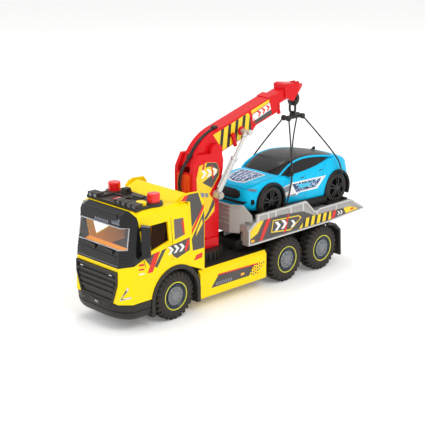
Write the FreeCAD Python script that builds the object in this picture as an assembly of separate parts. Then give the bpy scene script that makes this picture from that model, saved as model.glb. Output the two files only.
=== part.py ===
import math
import os

import FreeCAD
import Part

# Toy recovery truck with a slewing crane, a sliding bed and a loose passenger car on it.
# Millimetres. +X is forward, +Y is the truck's left, +Z is up. The ground is z = 0 and the
# origin lies on it, under the middle of the truck.

V = FreeCAD.Vector

# ---------------------------------------------------------------- driving dimensions
# Truck as a whole
TRUCK_FRONT = 269.0
TRUCK_TAIL = -269.0
HALF_WIDTH = 63.5
RUNNING_FIT = 0.05
BEYOND = 80.0  # a reach past the truck's sides, for cutting tools

# Wheels
WHEEL_RADIUS = 38.0
TYRE_WIDTH = 25.0
RIM_RADIUS = 20.5
TREAD_BLOCKS = 22
AXLE_X = {"front": 167.0, "middle": -77.4, "rear": -163.4}
SHAFT_RADIUS = 2.5
FENDER_OUTER = 49.0

# Cab
CAB_REAR = 142.0
CAB_ROOF = 181.0
CAB_BOTTOM = 46.0
CAB_WALL = 3.0
TOP_CORNER = 18.5
LOW_CORNER = 15.0
GRILLE_FRONT = 268.0
LAMP_Y = (-50, -39, 14, 26, 38, 49)
BEACON_X = 193.0
BEACON_Y = 44.7

# Chassis and bed
RAIL_TOP = 64.0
BED_FLOOR = 105.5
BED_BOTTOM = 80.5
BED_WALL = 4.0
BED_HINGE = (-205.0, 88.0)
HINGE_PIN_RADIUS = 2.5
BED_SLOPE = 2.6
BED_LEVEL_X = -150.0

# Crane tower
SLEW_X = 65.0
SPIGOT_RADIUS = 12.0
COLUMN_HALF_WIDTH = 20.0
WALL_INNER_X = 90.4
WALL_TOP = 204.0
WINDOW_HALF = 14.0

# Boom. Its own frame has the pivot at 0, +X outwards along the boom and +Z up from its axis.
BOOM_PIVOT = (41.0, 231.0)
BOOM_RISE = 16.6
BOOM_HALF_WIDTH = 13.0
PIVOT_RADIUS = 4.0
ROOT_BACK = 17.5
ROOT_RADIUS = 82.0
BOOM_TOP = 28.3
BOOM_FOOT = -9.0
BOOM_WAIST = -1.8
BOOM_END = 149.5
INNER_HALF = 10.4
INNER_BOTTOM = 8.0
INNER_TOP = 25.8
HEAD_HALF = 12.5

# Lifting cylinders
LIFT_BASE = (45.0, 164.0)
LIFT_SIDE = 25.2
LIFT_PIN_RADIUS = 3.6
BOOM_LIFT_POINT = (63.4, 4.6)
BARREL_LENGTH = 64.0
ROD_RADIUS = 2.7

# Hoses and their clips (x, y, z and slope in degrees)
HOSE_RADIUS = 1.3
HOSE_OFFSETS = (-1.7, 1.7)
UPPER_CLIP = (31.5, 3.9, 264.9, 20)
LOWER_CLIP = (80.3, 1.0, 226.4, 60)

# Hook and sling
HOOK_X = -154.0
HOOK_Z = 284.0
HOOK_HALF = 3.4
HOOK_THROAT = 4.5
RING_X = -152.0
RING_HALF = 6.0
RING_WIRE = 1.9
SPREADER_Z = 254.0
SPREADER_HALF = 17.0
KNOB_HALF = 7.5
SLING_RADIUS = 1.3

# Passenger car
CAR_AXLE_X = {"front": -52.0, "rear": -213.0}
CAR_WHEEL_RADIUS = 25.0
CAR_WHEEL_Z = 132.8
CAR_HALF_WIDTH = 50.0
CAR_SHAFT_RADIUS = 1.5


# ---------------------------------------------------------------- helpers
def box(x0, x1, y0, y1, z0, z1):
    return Part.makeBox(x1 - x0, y1 - y0, z1 - z0, V(x0, y0, z0))


def prism(points, direction):
    """Solid swept from a closed outline of points along a direction."""
    wire = Part.makePolygon(points + [points[0]])
    return Part.Face(wire).extrude(direction)


def side_prism(outline, y0, y1):
    """Outline given as (x, z), swept across the truck."""
    return prism([V(x, y0, z) for x, z in outline], V(0, y1 - y0, 0))


def plan_prism(outline, z0, z1):
    """Outline given as (x, y), swept upwards."""
    return prism([V(x, y, z0) for x, y in outline], V(0, 0, z1 - z0))


def front_prism(outline, x0, x1):
    """Outline given as (y, z), swept along the truck."""
    return prism([V(x0, y, z) for y, z in outline], V(x1 - x0, 0, 0))


def rod_y(x, z, radius, y0, y1):
    return Part.makeCylinder(radius, y1 - y0, V(x, y0, z), V(0, 1, 0))


def rod_z(x, y, radius, z0, z1):
    return Part.makeCylinder(radius, z1 - z0, V(x, y, z0), V(0, 0, 1))


def rod_x(y, z, radius, x0, x1):
    return Part.makeCylinder(radius, x1 - x0, V(x0, y, z), V(1, 0, 0))


def rod_between(start, end, radius):
    return Part.makeCylinder(radius, (end - start).Length, start, end - start)


def fuse(*shapes):
    return shapes[0].multiFuse(list(shapes[1:])).removeSplitter()


def cut(shape, *tools):
    return shape.cut(list(tools)).removeSplitter()


def mirrored(shape):
    return shape.mirror(V(0, 0, 0), V(0, 1, 0))


def pair(shape):
    """The same piece on the left and on the right, as two solids."""
    return Part.makeCompound([shape, mirrored(shape)])


# ---------------------------------------------------------------- wheels and axles
def tyre(x, side):
    """Ribbed toy tyre: chamfered ring whose tread blocks have three flat facets each."""
    outer_y = HALF_WIDTH - 0.5
    inner_y = outer_y - TYRE_WIDTH
    shoulder = 4.0
    facets = 3 * TREAD_BLOCKS
    facet_turn = 2 * math.pi / facets
    crown = WHEEL_RADIUS / math.cos(facet_turn / 2)
    over = crown + 1
    profile = [
        (RIM_RADIUS, inner_y),
        (over - shoulder, inner_y),
        (over, inner_y + shoulder),
        (over, outer_y - shoulder),
        (over - shoulder, outer_y),
        (RIM_RADIUS, outer_y),
    ]
    ring = [V(0, y, r) for r, y in profile]
    body = Part.Face(Part.makePolygon(ring + [ring[0]])).revolve(V(0, 0, 0), V(0, 1, 0), 360)
    tread = []
    for i in range(facets):
        turn = (i + 0.5) * facet_turn
        tread.append((crown * math.sin(turn), crown * math.cos(turn)))
    body = body.common(side_prism(tread, inner_y - 1, outer_y + 1))
    grooves = []
    for i in range(TREAD_BLOCKS):
        groove = box(-1.6, 1.6, inner_y - 1, outer_y + 1, WHEEL_RADIUS - 2.2, WHEEL_RADIUS + 2)
        groove.rotate(V(0, 0, 0), V(0, 1, 0), (i + 0.5) * 360 / TREAD_BLOCKS)
        grooves.append(groove)
    body = cut(body, *grooves)
    body.translate(V(x, 0, WHEEL_RADIUS))
    return body if side > 0 else mirrored(body)


def rim(x, side):
    """Dished disc that fills the tyre, with a bolted hub standing out of it."""
    outer_y = HALF_WIDTH - 1.5
    dish = rod_y(x, WHEEL_RADIUS, RIM_RADIUS, outer_y - 18, outer_y)
    dish = cut(dish, rod_y(x, WHEEL_RADIUS, RIM_RADIUS - 3.5, outer_y - 4, outer_y + 1))
    hub = rod_y(x, WHEEL_RADIUS, 11.0, outer_y - 4, outer_y - 1)
    bolts = []
    bolt_count = 8
    bolt_ring = 8.2
    for i in range(bolt_count):
        turn = 2 * math.pi * i / bolt_count
        bolt_x = x + bolt_ring * math.cos(turn)
        bolt_z = WHEEL_RADIUS + bolt_ring * math.sin(turn)
        bolts.append(rod_y(bolt_x, bolt_z, 1.1, outer_y - 2, outer_y - 0.4))
    body = fuse(dish, hub, *bolts)
    body = cut(body, rod_y(x, WHEEL_RADIUS, SHAFT_RADIUS, outer_y - 19, outer_y - 8))
    return body if side > 0 else mirrored(body)


def wheel_nodes():
    nodes = {}
    for name, x in AXLE_X.items():
        nodes["tyres_" + name] = Part.makeCompound([tyre(x, 1), tyre(x, -1)])
        nodes["rims_" + name] = Part.makeCompound([rim(x, 1), rim(x, -1)])
        reach = HALF_WIDTH - 1.5 - 8
        nodes["axle_" + name] = rod_y(x, WHEEL_RADIUS, SHAFT_RADIUS, -reach, reach)
    return nodes


# ---------------------------------------------------------------- chassis
def chassis_frame():
    """Two rails, their cross members, the axle bearers and the deck under the crane."""
    rear = -212.0
    front = 254.0
    rails = []
    for y in (-26.0, 18.0):
        rails.append(box(rear, front, y, y + 8, 42, RAIL_TOP))
    floor = box(rear, front, -26, 26, 42, 45)
    bearers = []
    for x in AXLE_X.values():
        bearer = box(x - 11, x + 11, -33, 33, 30, 48)
        bearers.append(bearer)
    deck = box(8, 114, -58, 58, 58, RAIL_TOP)
    flanks = []
    for y in (-58.0, 34.0):
        flanks.append(box(-33, 8, y, y + 24, 22, RAIL_TOP))
    skirt_mounts = []
    for y in (-34.0, 26.0):
        skirt_mounts.append(box(-20, 110, y, y + 8, 24, 58.5))
    rear_bar = box(rear, rear + 8, -40, 40, 40, 50)
    cross_flank = box(-33, 8, -35, 35, 45, 50)
    frame = fuse(floor, deck, rear_bar, cross_flank, *rails, *bearers, *flanks, *skirt_mounts)
    bores = []
    for x in AXLE_X.values():
        bores.append(rod_y(x, WHEEL_RADIUS, SHAFT_RADIUS + RUNNING_FIT, -40, 40))
    battery_well = box(30, 104, -18, 18, 41, 58.5)
    return cut(frame, battery_well, *bores)


def battery_box():
    tray = box(31, 103, -17.5, 17.5, 43, 58)
    return cut(tray, box(33, 101, -15.5, 15.5, 42, 56))


def battery_cover():
    plate = box(28, 106, -17.9, 17.9, 40, 42.0)
    lip = box(34, 100, -14, 14, 42, 43.5)
    return fuse(plate, lip)


def assembly_screws():
    """Self-tapping screws that hold the battery cover and the bearers from below."""
    screws = []
    for x, y in ((25, -22), (25, 22), (118, -22), (118, 22), (-120, -22), (-120, 22)):
        head = rod_z(x, y, 2.6, 40.4, 42)
        slot = box(x - 2, x + 2, y - 0.4, y + 0.4, 40.3, 41.0)
        screws.append(cut(head, slot))
    return Part.makeCompound(screws)


def front_fender():
    """Black wheel arch with its two legs, over the left front wheel."""
    x = AXLE_X["front"]
    inner = 42.4
    low = 17.5
    y0 = 34.0
    y1 = HALF_WIDTH + 1.2
    disc = rod_y(x, WHEEL_RADIUS, FENDER_OUTER, y0, y1)
    ring = cut(disc, rod_y(x, WHEEL_RADIUS, inner, y0 - 1, y1 + 1))
    ring = cut(ring, box(x - 60, x + 60, y0 - 1, y1 + 1, -20, WHEEL_RADIUS))
    front_leg = box(x + inner, x + FENDER_OUTER, y0, y1, low, WHEEL_RADIUS)
    rear_leg = box(x - FENDER_OUTER, x - inner, y0, y1, low, WHEEL_RADIUS)
    return fuse(ring, front_leg, rear_leg)


def side_skirt():
    """Yellow tank panel between the front arch and the middle wheel."""
    inner = 34.5
    outline = [
        (60, 18),
        (HALF_WIDTH, 21),
        (HALF_WIDTH, 60),
        (59, RAIL_TOP + 1.5),
        (58.2, RAIL_TOP + 1.5),
        (58.2, 24),
        (inner, 24),
        (inner, 19),
    ]
    return front_prism(outline, -27, AXLE_X["front"] - FENDER_OUTER - 0.3)


def rear_mudguard():
    """Black flap behind the rear wheel, hung from the frame by an arm."""
    outline = [
        (-176, 75.2),
        (-194, 70.5),
        (-206, 59),
        (-209, 15.5),
        (-212, 15.5),
        (-209.5, 61.5),
        (-196, 74.3),
        (-176, 78.8),
    ]
    flap = side_prism(outline, 38.5, HALF_WIDTH)
    arm = box(-211.2, -206.8, 26, 40, 46, 52)
    return fuse(flap, arm)


# ---------------------------------------------------------------- cab
def cab_section(front, corner, inset, z):
    half = HALF_WIDTH - inset
    nose = front - inset
    shift = 0.414 * inset
    points = [
        V(CAB_REAR + inset, -half, z),
        V(front - corner - shift, -half, z),
        V(nose, corner + shift - HALF_WIDTH, z),
        V(nose, HALF_WIDTH - corner - shift, z),
        V(front - corner - shift, half, z),
        V(CAB_REAR + inset, half, z),
    ]
    return Part.makePolygon(points + [points[0]])


def cab_form(inset):
    """Outside form of the cab, moved inwards by inset: upright, with leaning front and cut corners."""
    roof_edge = 6.0
    sections = [
        cab_section(267, LOW_CORNER, inset, CAB_BOTTOM - (1 if inset else 0)),
        cab_section(265, LOW_CORNER + 1, inset, 101),
        cab_section(256.5, TOP_CORNER, inset, CAB_ROOF - roof_edge - inset),
        cab_section(256.5 - roof_edge, TOP_CORNER, inset + roof_edge, CAB_ROOF - inset),
    ]
    return Part.makeLoft(sections, True, True)


def mask_region():
    """Side outline of the black front panel around the windscreen, up to the roof."""
    outline = [(280, 99), (265, 100.5), (247, 104), (230, 110.5), (241, 182), (280, 182)]
    return side_prism(outline, -BEYOND, BEYOND)


def screen_region():
    return box(225, 280, -56, 56, 127, 160)


def arch_clearance():
    """Room for the front wheel arches in the cab's sides."""
    x = AXLE_X["front"]
    reach = FENDER_OUTER + 0.1
    return fuse(
        rod_y(x, WHEEL_RADIUS, reach, -BEYOND, BEYOND),
        box(x - reach, x + reach, -BEYOND, BEYOND, 0, WHEEL_RADIUS),
    )


def door_windows():
    return side_prism([(217, 118.5), (226.5, 158.5), (183, 158.5), (180, 128)], -BEYOND, BEYOND)


def cab_shell():
    """Yellow moulding: roof, doors, back wall and front corners, open underneath."""
    shell = cut(cab_form(0), cab_form(CAB_WALL))
    grille_hole = front_prism(grille_outline(-0.2), 255, 280)
    shell = cut(shell, mask_region(), arch_clearance(), door_windows(), grille_hole, grille())
    between_arches = 33.0
    back_foot = box(CAB_REAR, CAB_REAR + CAB_WALL, -between_arches, between_arches, RAIL_TOP + 0.1, 90)
    return fuse(shell, back_foot)


def cab_mask():
    """Black visor and surround, flush with the shell."""
    panel = cut(cab_form(0), cab_form(CAB_WALL)).common(mask_region())
    return cut(panel, screen_region())


def windscreen():
    pane = cut(cab_form(0.8), cab_form(2.4))
    return pane.common(screen_region())


def cab_interior():
    """Floor tub with the dash in front, an engine hump and the steering wheel."""
    floor = box(147, 248, -28, 28, 66, 72)
    side_floor = box(150, 248, -57, 57, 90, 94)
    hump = box(150, 226, -12, 12, 72, 96)
    dash = side_prism([(226, 90), (250, 90), (250, 120), (240, 124), (226, 112)], -50, 50)
    walls = [box(150, 222, -28, -25, 70, 92), box(150, 222, 25, 28, 70, 92)]
    tub = fuse(floor, side_floor, hump, dash, *walls)
    return Part.makeCompound([tub, cut(steering_wheel(), tub)])


def steering_wheel():
    wheel = Part.makeTorus(11, 1.6, V(0, 0, 0), V(0, 0, 1))
    spoke = box(-10.5, 10.5, -1.5, 1.5, -0.8, 0.8)
    column = rod_z(0, 0, 2.0, -16, 0.8)
    body = fuse(wheel, spoke, column)
    body.rotate(V(0, 0, 0), V(0, 1, 0), -40)
    body.translate(V(215, 30, 124))
    return body


def cab_seats():
    seat = side_prism(
        [(158, 94.3), (200, 94.3), (202, 104), (176, 106), (170, 146), (160, 148), (156, 100)], 15, 45
    )
    return pair(seat)


def grille_outline(inset):
    """Front outline of the grille: wide at the top, narrowing to its foot."""
    wide = 47.0 - inset
    narrow = 37.0 - inset
    low = CAB_BOTTOM + inset
    high = 94.8 - inset
    shoulder = 76.0
    return [(narrow, low), (wide, shoulder), (wide, high), (-wide, high), (-wide, shoulder), (-narrow, low)]


def grille():
    """Black slatted panel with a spike over each headlamp."""
    back = GRILLE_FRONT - 5.5
    face = GRILLE_FRONT - 2.5
    plate = front_prism(grille_outline(0), back, face)
    frame = front_prism(grille_outline(0), face - 0.1, GRILLE_FRONT)
    frame = cut(frame, front_prism(grille_outline(3), face - 1, GRILLE_FRONT + 1))
    slats = []
    slat_count = 4
    pitch = 8.2
    for i in range(slat_count):
        z = 57.0 + i * pitch
        half = 36.0 + i * 2.2
        slats.append(box(face - 0.1, GRILLE_FRONT - 0.4, -half, half, z, z + 3.6))
    spike = plan_prism([(266.5, 42.5), (268, 40), (268, 44), (252.5, 59.5), (251.2, 58.4)], 80.5, 84.0)
    return fuse(plate, frame, *slats, spike, mirrored(spike))


def bumper_outline(rear, inset):
    """Plan outline of the bumper with rounded corners, moved inwards by inset."""
    half = [(rear, 63.5), (247, 63.5), (254, 60.8), (260, 55.8), (264.6, 48.6), (267.6, 40), (TRUCK_FRONT, 30)]
    return mirror_outline([(x if x == rear else x - inset, y - inset) for x, y in half])


def front_bumper():
    """Deep black bumper that wraps round to the wheel arches."""
    top = CAB_BOTTOM - 0.6
    low = 20.5
    wall = 3.8
    edge = AXLE_X["front"] + FENDER_OUTER + 0.4
    body = plan_prism(bumper_outline(edge, 0), low, top)
    under = [(300, 10), (300, 27), (TRUCK_FRONT, 27), (262, low - 0.1), (261, 10)]
    lower_cut = side_prism(under, -BEYOND, BEYOND)
    hollow = plan_prism(bumper_outline(edge - 1, wall), 10, top - 4)
    slots = [box(TRUCK_FRONT - 2, TRUCK_FRONT + 1, -34, 34, 33.0, 34.4)]
    slots.append(box(TRUCK_FRONT - 0.9, TRUCK_FRONT + 1, -11, 11, 36.4, 44.0))
    for y in (-27.0, 15.0):
        slots.append(box(TRUCK_FRONT - 2, TRUCK_FRONT + 1, y, y + 12, 38.6, 41.4))
    return cut(body, lower_cut, hollow, *slots)


def mirrors():
    """Tall black door mirrors on two arms."""
    low = 110.0
    high = 167.0
    housing = plan_prism([(236, 66), (226.5, 71.5), (225, 74.5), (227.5, 76.5), (239, 70)], low, high)
    top_cut = front_prism([(64, high + 1), (64, high - 1), (BEYOND, high - 8), (BEYOND, high + 1)], 200, 260)
    foot_cut = front_prism([(64, low - 1), (64, low + 1), (BEYOND, low + 8), (BEYOND, low - 1)], 200, 260)
    arm_top = box(229, 237, HALF_WIDTH, 70, high - 12, high - 7)
    arm_low = box(227.5, 233.5, HALF_WIDTH, 71, low + 6, low + 10)
    return pair(fuse(cut(housing, top_cut, foot_cut), arm_top, arm_low))


def wipers():
    """Two wiper arms lying along the foot of the windscreen."""
    blades = []
    for y in (-34.0, 6.0):
        outline = [(y, 125.2), (y + 30, 123.2), (y + 30, 125.4), (y, 127.2)]
        blade = front_prism(outline, 263.2, 265.4)
        foot = box(262.2, 264.6, y + 24, y + 29, 119.5, 124.5)
        blades.append(cut(fuse(blade, foot), cab_form(0)))
    return Part.makeCompound(blades)


def light_bar():
    """Dark roof unit: deck plate, lamp pods along the front, a lug and the beacon bases."""
    z = CAB_ROOF
    foot = z + 0.1
    plan = mirror_outline([(222, 54), (186, 54), (178, 36)])
    deck = plan_prism([(232, 48)] + plan + [(232, -48)], foot, z + 4.2)
    bases = [rod_z(BEACON_X, side * BEACON_Y, 13.5, foot, z + 5.4) for side in (-1, 1)]
    pods = [box(222, 236, y - 5, y + 5, z + 1, z + 9.5) for y in LAMP_Y]
    bar = box(228, 237, -56, 56, foot, z + 4.5)
    lug = side_prism([(184, z + 4), (200, z + 4), (198, z + 14), (188, z + 14)], -22, -13)
    lug = cut(lug, rod_y(BEACON_X, z + 9.5, 2.2, -25, -5))
    unit = fuse(deck, bar, lug, *bases, *pods)
    socket = plan_prism(button_outline(0.35), z + 1.2, z + 20)
    hollows = [box(235, 237.5, y - 4, y + 4, z + 2.2, z + 8.6) for y in LAMP_Y]
    return cut(unit, socket, *hollows)


def beacons():
    lamp = rod_z(BEACON_X, BEACON_Y, 9.5, CAB_ROOF + 5.4, CAB_ROOF + 18.6)
    rim_edges = [edge for edge in lamp.Edges if edge.BoundBox.ZMin > CAB_ROOF + 18]
    return pair(lamp.makeFillet(2.0, rim_edges))


def button_outline(gap):
    """Oval push button beside the left beacon, seen from above and widened by gap."""
    points = []
    steps = 24
    for i in range(steps):
        turn = 2 * math.pi * i / steps
        x = 213.5 + (7.0 + gap) * math.cos(turn)
        y = 41.0 + (8.5 + gap) * math.sin(turn)
        points.append((x, y))
    return points


def sound_button():
    return plan_prism(button_outline(0), CAB_ROOF + 3.0, CAB_ROOF + 8.6)


def roof_spoiler():
    """Sloping air deflector across the back of the roof."""
    z = CAB_ROOF + 0.1
    back = CAB_REAR - 4.5
    lip = CAB_REAR - 0.2
    outline = [(166, z), (CAB_REAR, z + 9), (back, z + 9), (back, z - 8), (lip, z - 8), (lip, z)]
    return side_prism(outline, -55.5, 55.5)


def side_fairing():
    """Tall yellow panel behind the door: its tip stands above the roof, its foot reaches the tank."""
    lip = CAB_REAR - 0.2
    outline = [(109, 66), (109, 171), (118, 187), (121, 191), (144, 192.5), (156, 184.5),
               (157, CAB_ROOF + 0.2), (lip, CAB_ROOF + 0.2), (lip, 80)]
    panel = side_prism(outline, 60.0, HALF_WIDTH)
    edge_outline = [(lip, 98), (lip, CAB_ROOF - 10), (124, CAB_ROOF - 6), (124, 98)]
    inner_edge = side_prism(edge_outline, 56.0, 60.0)
    return cut(fuse(panel, inner_edge), arch_clearance())


# ---------------------------------------------------------------- crane
def turntable_base():
    """Ribbed black drum on the deck, with the slew spigot on top."""
    drum = rod_z(SLEW_X, 0, 38, RAIL_TOP, 79.5)
    ribs = []
    rib_count = 28
    for i in range(rib_count):
        rib = box(37, 40.5, -1.6, 1.6, RAIL_TOP, 78)
        rib.rotate(V(0, 0, 0), V(0, 0, 1), i * 360 / rib_count)
        rib.translate(V(SLEW_X, 0, 0))
        ribs.append(rib)
    spigot = rod_z(SLEW_X, 0, SPIGOT_RADIUS, 79, 92)
    return fuse(drum, spigot, *ribs)


def column_outline():
    """Side view of the tower, leaning back towards the boom at the top."""
    return [(93, 94), (93, WALL_TOP), (92, 212), (81, 231), (53, 230), (30, 228), (27, 216), (28.2, 201),
            (34, 176), (37, 156), (37, 94)]


def boom_slot():
    """Room between the cheeks for the boom root to turn in."""
    outline = [(15, 220), (27, 214), (34, 205), (48, 188), (WALL_INNER_X, 188), (WALL_INNER_X, WALL_TOP),
               (95, WALL_TOP), (95, 262), (15, 262)]
    half = BOOM_HALF_WIDTH + 0.6
    return fuse(side_prism(outline, -half, half), rod_y(*BOOM_PIVOT, 16.6, -half, half))


def crane_column():
    """Red tower with two cheeks at the top and a round flange at the foot."""
    half = COLUMN_HALF_WIDTH
    cheek = half - BOOM_HALF_WIDTH - 0.6
    tower = side_prism(column_outline(), -half, half)
    ears = [rod_y(*BOOM_PIVOT, 12, y, y + cheek) for y in (-half, half - cheek)]
    foot_plan = [(96, -17), (96, 17), (89, 24), (41, 24), (34, 17), (34, -17), (41, -24), (89, -24)]
    body = fuse(tower, plan_prism(foot_plan, 79.8, 95), *ears)
    window_recess = box(91.0, 94, -WINDOW_HALF, WINDOW_HALF, 118, 201)
    hollow = box(42, 86, -15, 15, 98, 184)
    spigot_bore = rod_z(SLEW_X, 0, SPIGOT_RADIUS + RUNNING_FIT, 79, 92.6)
    pin_bore = rod_y(*BOOM_PIVOT, PIVOT_RADIUS, -30, 30)
    lift_bore = rod_y(*LIFT_BASE, LIFT_PIN_RADIUS, -30, 30)
    return cut(body, boom_slot(), window_recess, hollow, spigot_bore, pin_bore, lift_bore)


def crane_window():
    """Ribbed translucent panel set in the front of the tower."""
    plate = box(91.0, 93.2, -WINDOW_HALF, WINDOW_HALF, 118, 201)
    ribs = [box(93.1, 94.0, y, y + 2.5, 122, 197) for y in (-11.5, -6.5, -1.5, 3.5, 8.5)]
    return fuse(plate, *ribs)


def boom_pin():
    return rod_y(*BOOM_PIVOT, PIVOT_RADIUS, -COLUMN_HALF_WIDTH, COLUMN_HALF_WIDTH)


def lift_pins():
    """Stub shafts that carry the two lifting cylinders."""
    stub = rod_y(*LIFT_BASE, LIFT_PIN_RADIUS, 15.0, LIFT_SIDE + 9)
    cap = rod_y(*LIFT_BASE, 5.0, LIFT_SIDE + 7.6, LIFT_SIDE + 10)
    return pair(fuse(stub, cap))


def place_on_boom(shape):
    """Move a shape from the boom's own frame (+X outwards, +Z up, pivot at 0) to its rest place."""
    shape.rotate(V(0, 0, 0), V(0, 0, 1), 180)
    shape.rotate(V(0, 0, 0), V(0, 1, 0), BOOM_RISE)
    shape.translate(V(BOOM_PIVOT[0], 0, BOOM_PIVOT[1]))
    return shape


def boom_outline():
    """Side view of the outer boom in its own frame: curved root, deep middle, slim outer end."""
    points = []
    steps = 12
    root_turn = math.radians(54)
    for i in range(steps + 1):
        turn = root_turn * (1 - i / steps)
        along = ROOT_BACK - ROOT_RADIUS * math.sin(turn)
        above = BOOM_TOP - ROOT_RADIUS * (1 - math.cos(turn))
        points.append((along, above))
    points += [(BOOM_END, BOOM_TOP), (BOOM_END, BOOM_WAIST), (97, BOOM_WAIST), (83, BOOM_FOOT)]
    points += [(ROOT_BACK, BOOM_FOOT), (-4.3, -14.4), (-41, -14.9)]
    return points


def boom_outer():
    """Box boom with a curved root that turns between the cheeks, hollow from its outer end."""
    half = BOOM_HALF_WIDTH
    beam = side_prism(boom_outline(), -half, half)
    collar = box(BOOM_END - 14, BOOM_END, -half - 0.4, half + 0.4, BOOM_WAIST, BOOM_TOP + 1.1)
    knuckle = rod_y(0, 0, 16, -half, half)
    boss = rod_y(*BOOM_LIFT_POINT, 7.0, -half - 2.2, half + 2.2)
    peg_y = -half - 2.6
    peg = rod_z(43, peg_y, 3.2, -11.5, 9.5)
    peg_head = rod_z(43, peg_y, 4.0, 5.0, 9.5)
    gap = 0.25
    cavity = box(30, BOOM_END + 1, -INNER_HALF - gap, INNER_HALF + gap, INNER_BOTTOM - gap, INNER_TOP + gap)
    relief = box(98, BOOM_END + 1, -half + 2, half - 2, BOOM_WAIST + 2.2, INNER_BOTTOM + 1)
    body = cut(fuse(beam, collar, knuckle, boss, peg, peg_head), cavity, relief)
    bore = rod_y(*BOOM_PIVOT, PIVOT_RADIUS + RUNNING_FIT, -40, 40)
    return cut(place_on_boom(body), bore, crane_hoses())


def boom_inner():
    """Telescopic inner boom with the finger peg under its outer end."""
    wall = 2.0
    bar = box(34, 176, -INNER_HALF, INNER_HALF, INNER_BOTTOM, INNER_TOP)
    hollow = box(33, 160, wall - INNER_HALF, INNER_HALF - wall, INNER_BOTTOM + wall, INNER_TOP - wall)
    peg = rod_z(156.5, -7.2, 3.2, -9.0, INNER_BOTTOM + 0.5)
    peg_head = rod_z(156.5, -7.2, 4.3, 2.0, INNER_BOTTOM + 0.5)
    body = place_on_boom(fuse(cut(bar, hollow), peg, peg_head))
    return cut(body, boom_head())


def boom_head():
    """Boxy end piece with a blunt nose, a deep heel and two short ribs on top."""
    outline = [(-119, 313.2), (-125, 315), (-163.4, 310.2), (-165.5, 307), (-161.6, 303), (-151.6, 296.6),
               (-140.7, 283.6), (-126, 290), (-120.5, 293)]
    block = side_prism(outline, -HEAD_HALF, HEAD_HALF)
    nose_cut = plan_prism([(-148, 14), (-172, 14), (-172, 7)], 270, 330)
    ridge = box(-161, -150, 3.0, 5.2, 308, 313.4)
    body = cut(fuse(block, ridge, mirrored(ridge)), nose_cut, mirrored(nose_cut))
    slot = box(-162, -137, -HOOK_HALF - 0.3, HOOK_HALF + 0.3, 280, 299)
    return cut(body, slot)


def crane_hook():
    """Black hook under the head: a thick C, open towards the tower, with its shank let into the head."""
    ring = rod_y(HOOK_X, HOOK_Z, 11.0, -HOOK_HALF, HOOK_HALF)
    throat = rod_y(HOOK_X, HOOK_Z, HOOK_THROAT, -5, 5)
    opening = [(HOOK_X, HOOK_Z), (HOOK_X + 14, HOOK_Z - 1), (HOOK_X + 14, HOOK_Z + 14), (HOOK_X, HOOK_Z + 14)]
    mouth = side_prism(opening, -5, 5)
    shank = box(HOOK_X - 7.8, HOOK_X + 2, -HOOK_HALF, HOOK_HALF, HOOK_Z + 7.0, 298.8)
    return fuse(cut(ring, throat, mouth), shank)


def lift_direction():
    """Unit vector from the lower pin of the lifting cylinders to their rod head, and the distance."""
    head = boom_point(*BOOM_LIFT_POINT)
    span = head - V(LIFT_BASE[0], 0, LIFT_BASE[1])
    length = span.Length
    return span / length, length


def boom_point(along, above):
    """A point of the boom's own frame, in the truck's frame."""
    rise = math.radians(BOOM_RISE)
    x = BOOM_PIVOT[0] - along * math.cos(rise) + above * math.sin(rise)
    z = BOOM_PIVOT[1] + along * math.sin(rise) + above * math.cos(rise)
    return V(x, 0, z)


def lift_point(along):
    """A point on the axis of the left lifting cylinder."""
    direction, _ = lift_direction()
    return V(LIFT_BASE[0], LIFT_SIDE, LIFT_BASE[1]) + direction * along


def lift_barrels():
    """Cylinder barrels with their lower eyes, gland collars and feed pipes."""
    direction, _ = lift_direction()
    aside = V(direction.z, 0, -direction.x) * 6.0
    eye = rod_y(*LIFT_BASE, 6.2, COLUMN_HALF_WIDTH + 0.4, LIFT_SIDE + 7.2)
    tube = rod_between(lift_point(4), lift_point(BARREL_LENGTH), 4.4)
    collar = rod_between(lift_point(BARREL_LENGTH - 4), lift_point(BARREL_LENGTH + 1), 5.6)
    pipe = rod_between(lift_point(10) + aside, lift_point(BARREL_LENGTH - 7) + aside, 1.2)
    stays = []
    for along in (10, BARREL_LENGTH - 9):
        stays.append(rod_between(lift_point(along) + aside * 0.55, lift_point(along) + aside, 0.9))
    body = fuse(eye, tube, collar, pipe, *stays)
    bore = rod_between(lift_point(12), lift_point(BARREL_LENGTH + 2), ROD_RADIUS + 0.08)
    pin_bore = rod_y(*LIFT_BASE, LIFT_PIN_RADIUS + RUNNING_FIT, 0, 60)
    return pair(cut(body, bore, pin_bore))


def lift_rods():
    """Piston rods with T heads that reach the bosses on the boom."""
    _, length = lift_direction()
    rod = rod_between(lift_point(24), lift_point(length), ROD_RADIUS)
    neck = rod_between(lift_point(length - 9), lift_point(length), 4.0)
    end = lift_point(length)
    head = rod_y(end.x, end.z, 4.0, BOOM_HALF_WIDTH + 2.6, LIFT_SIDE + 8)
    cap = rod_y(end.x, end.z, 4.6, LIFT_SIDE + 6, LIFT_SIDE + 9.5)
    return pair(fuse(rod, neck, head, cap))


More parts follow.
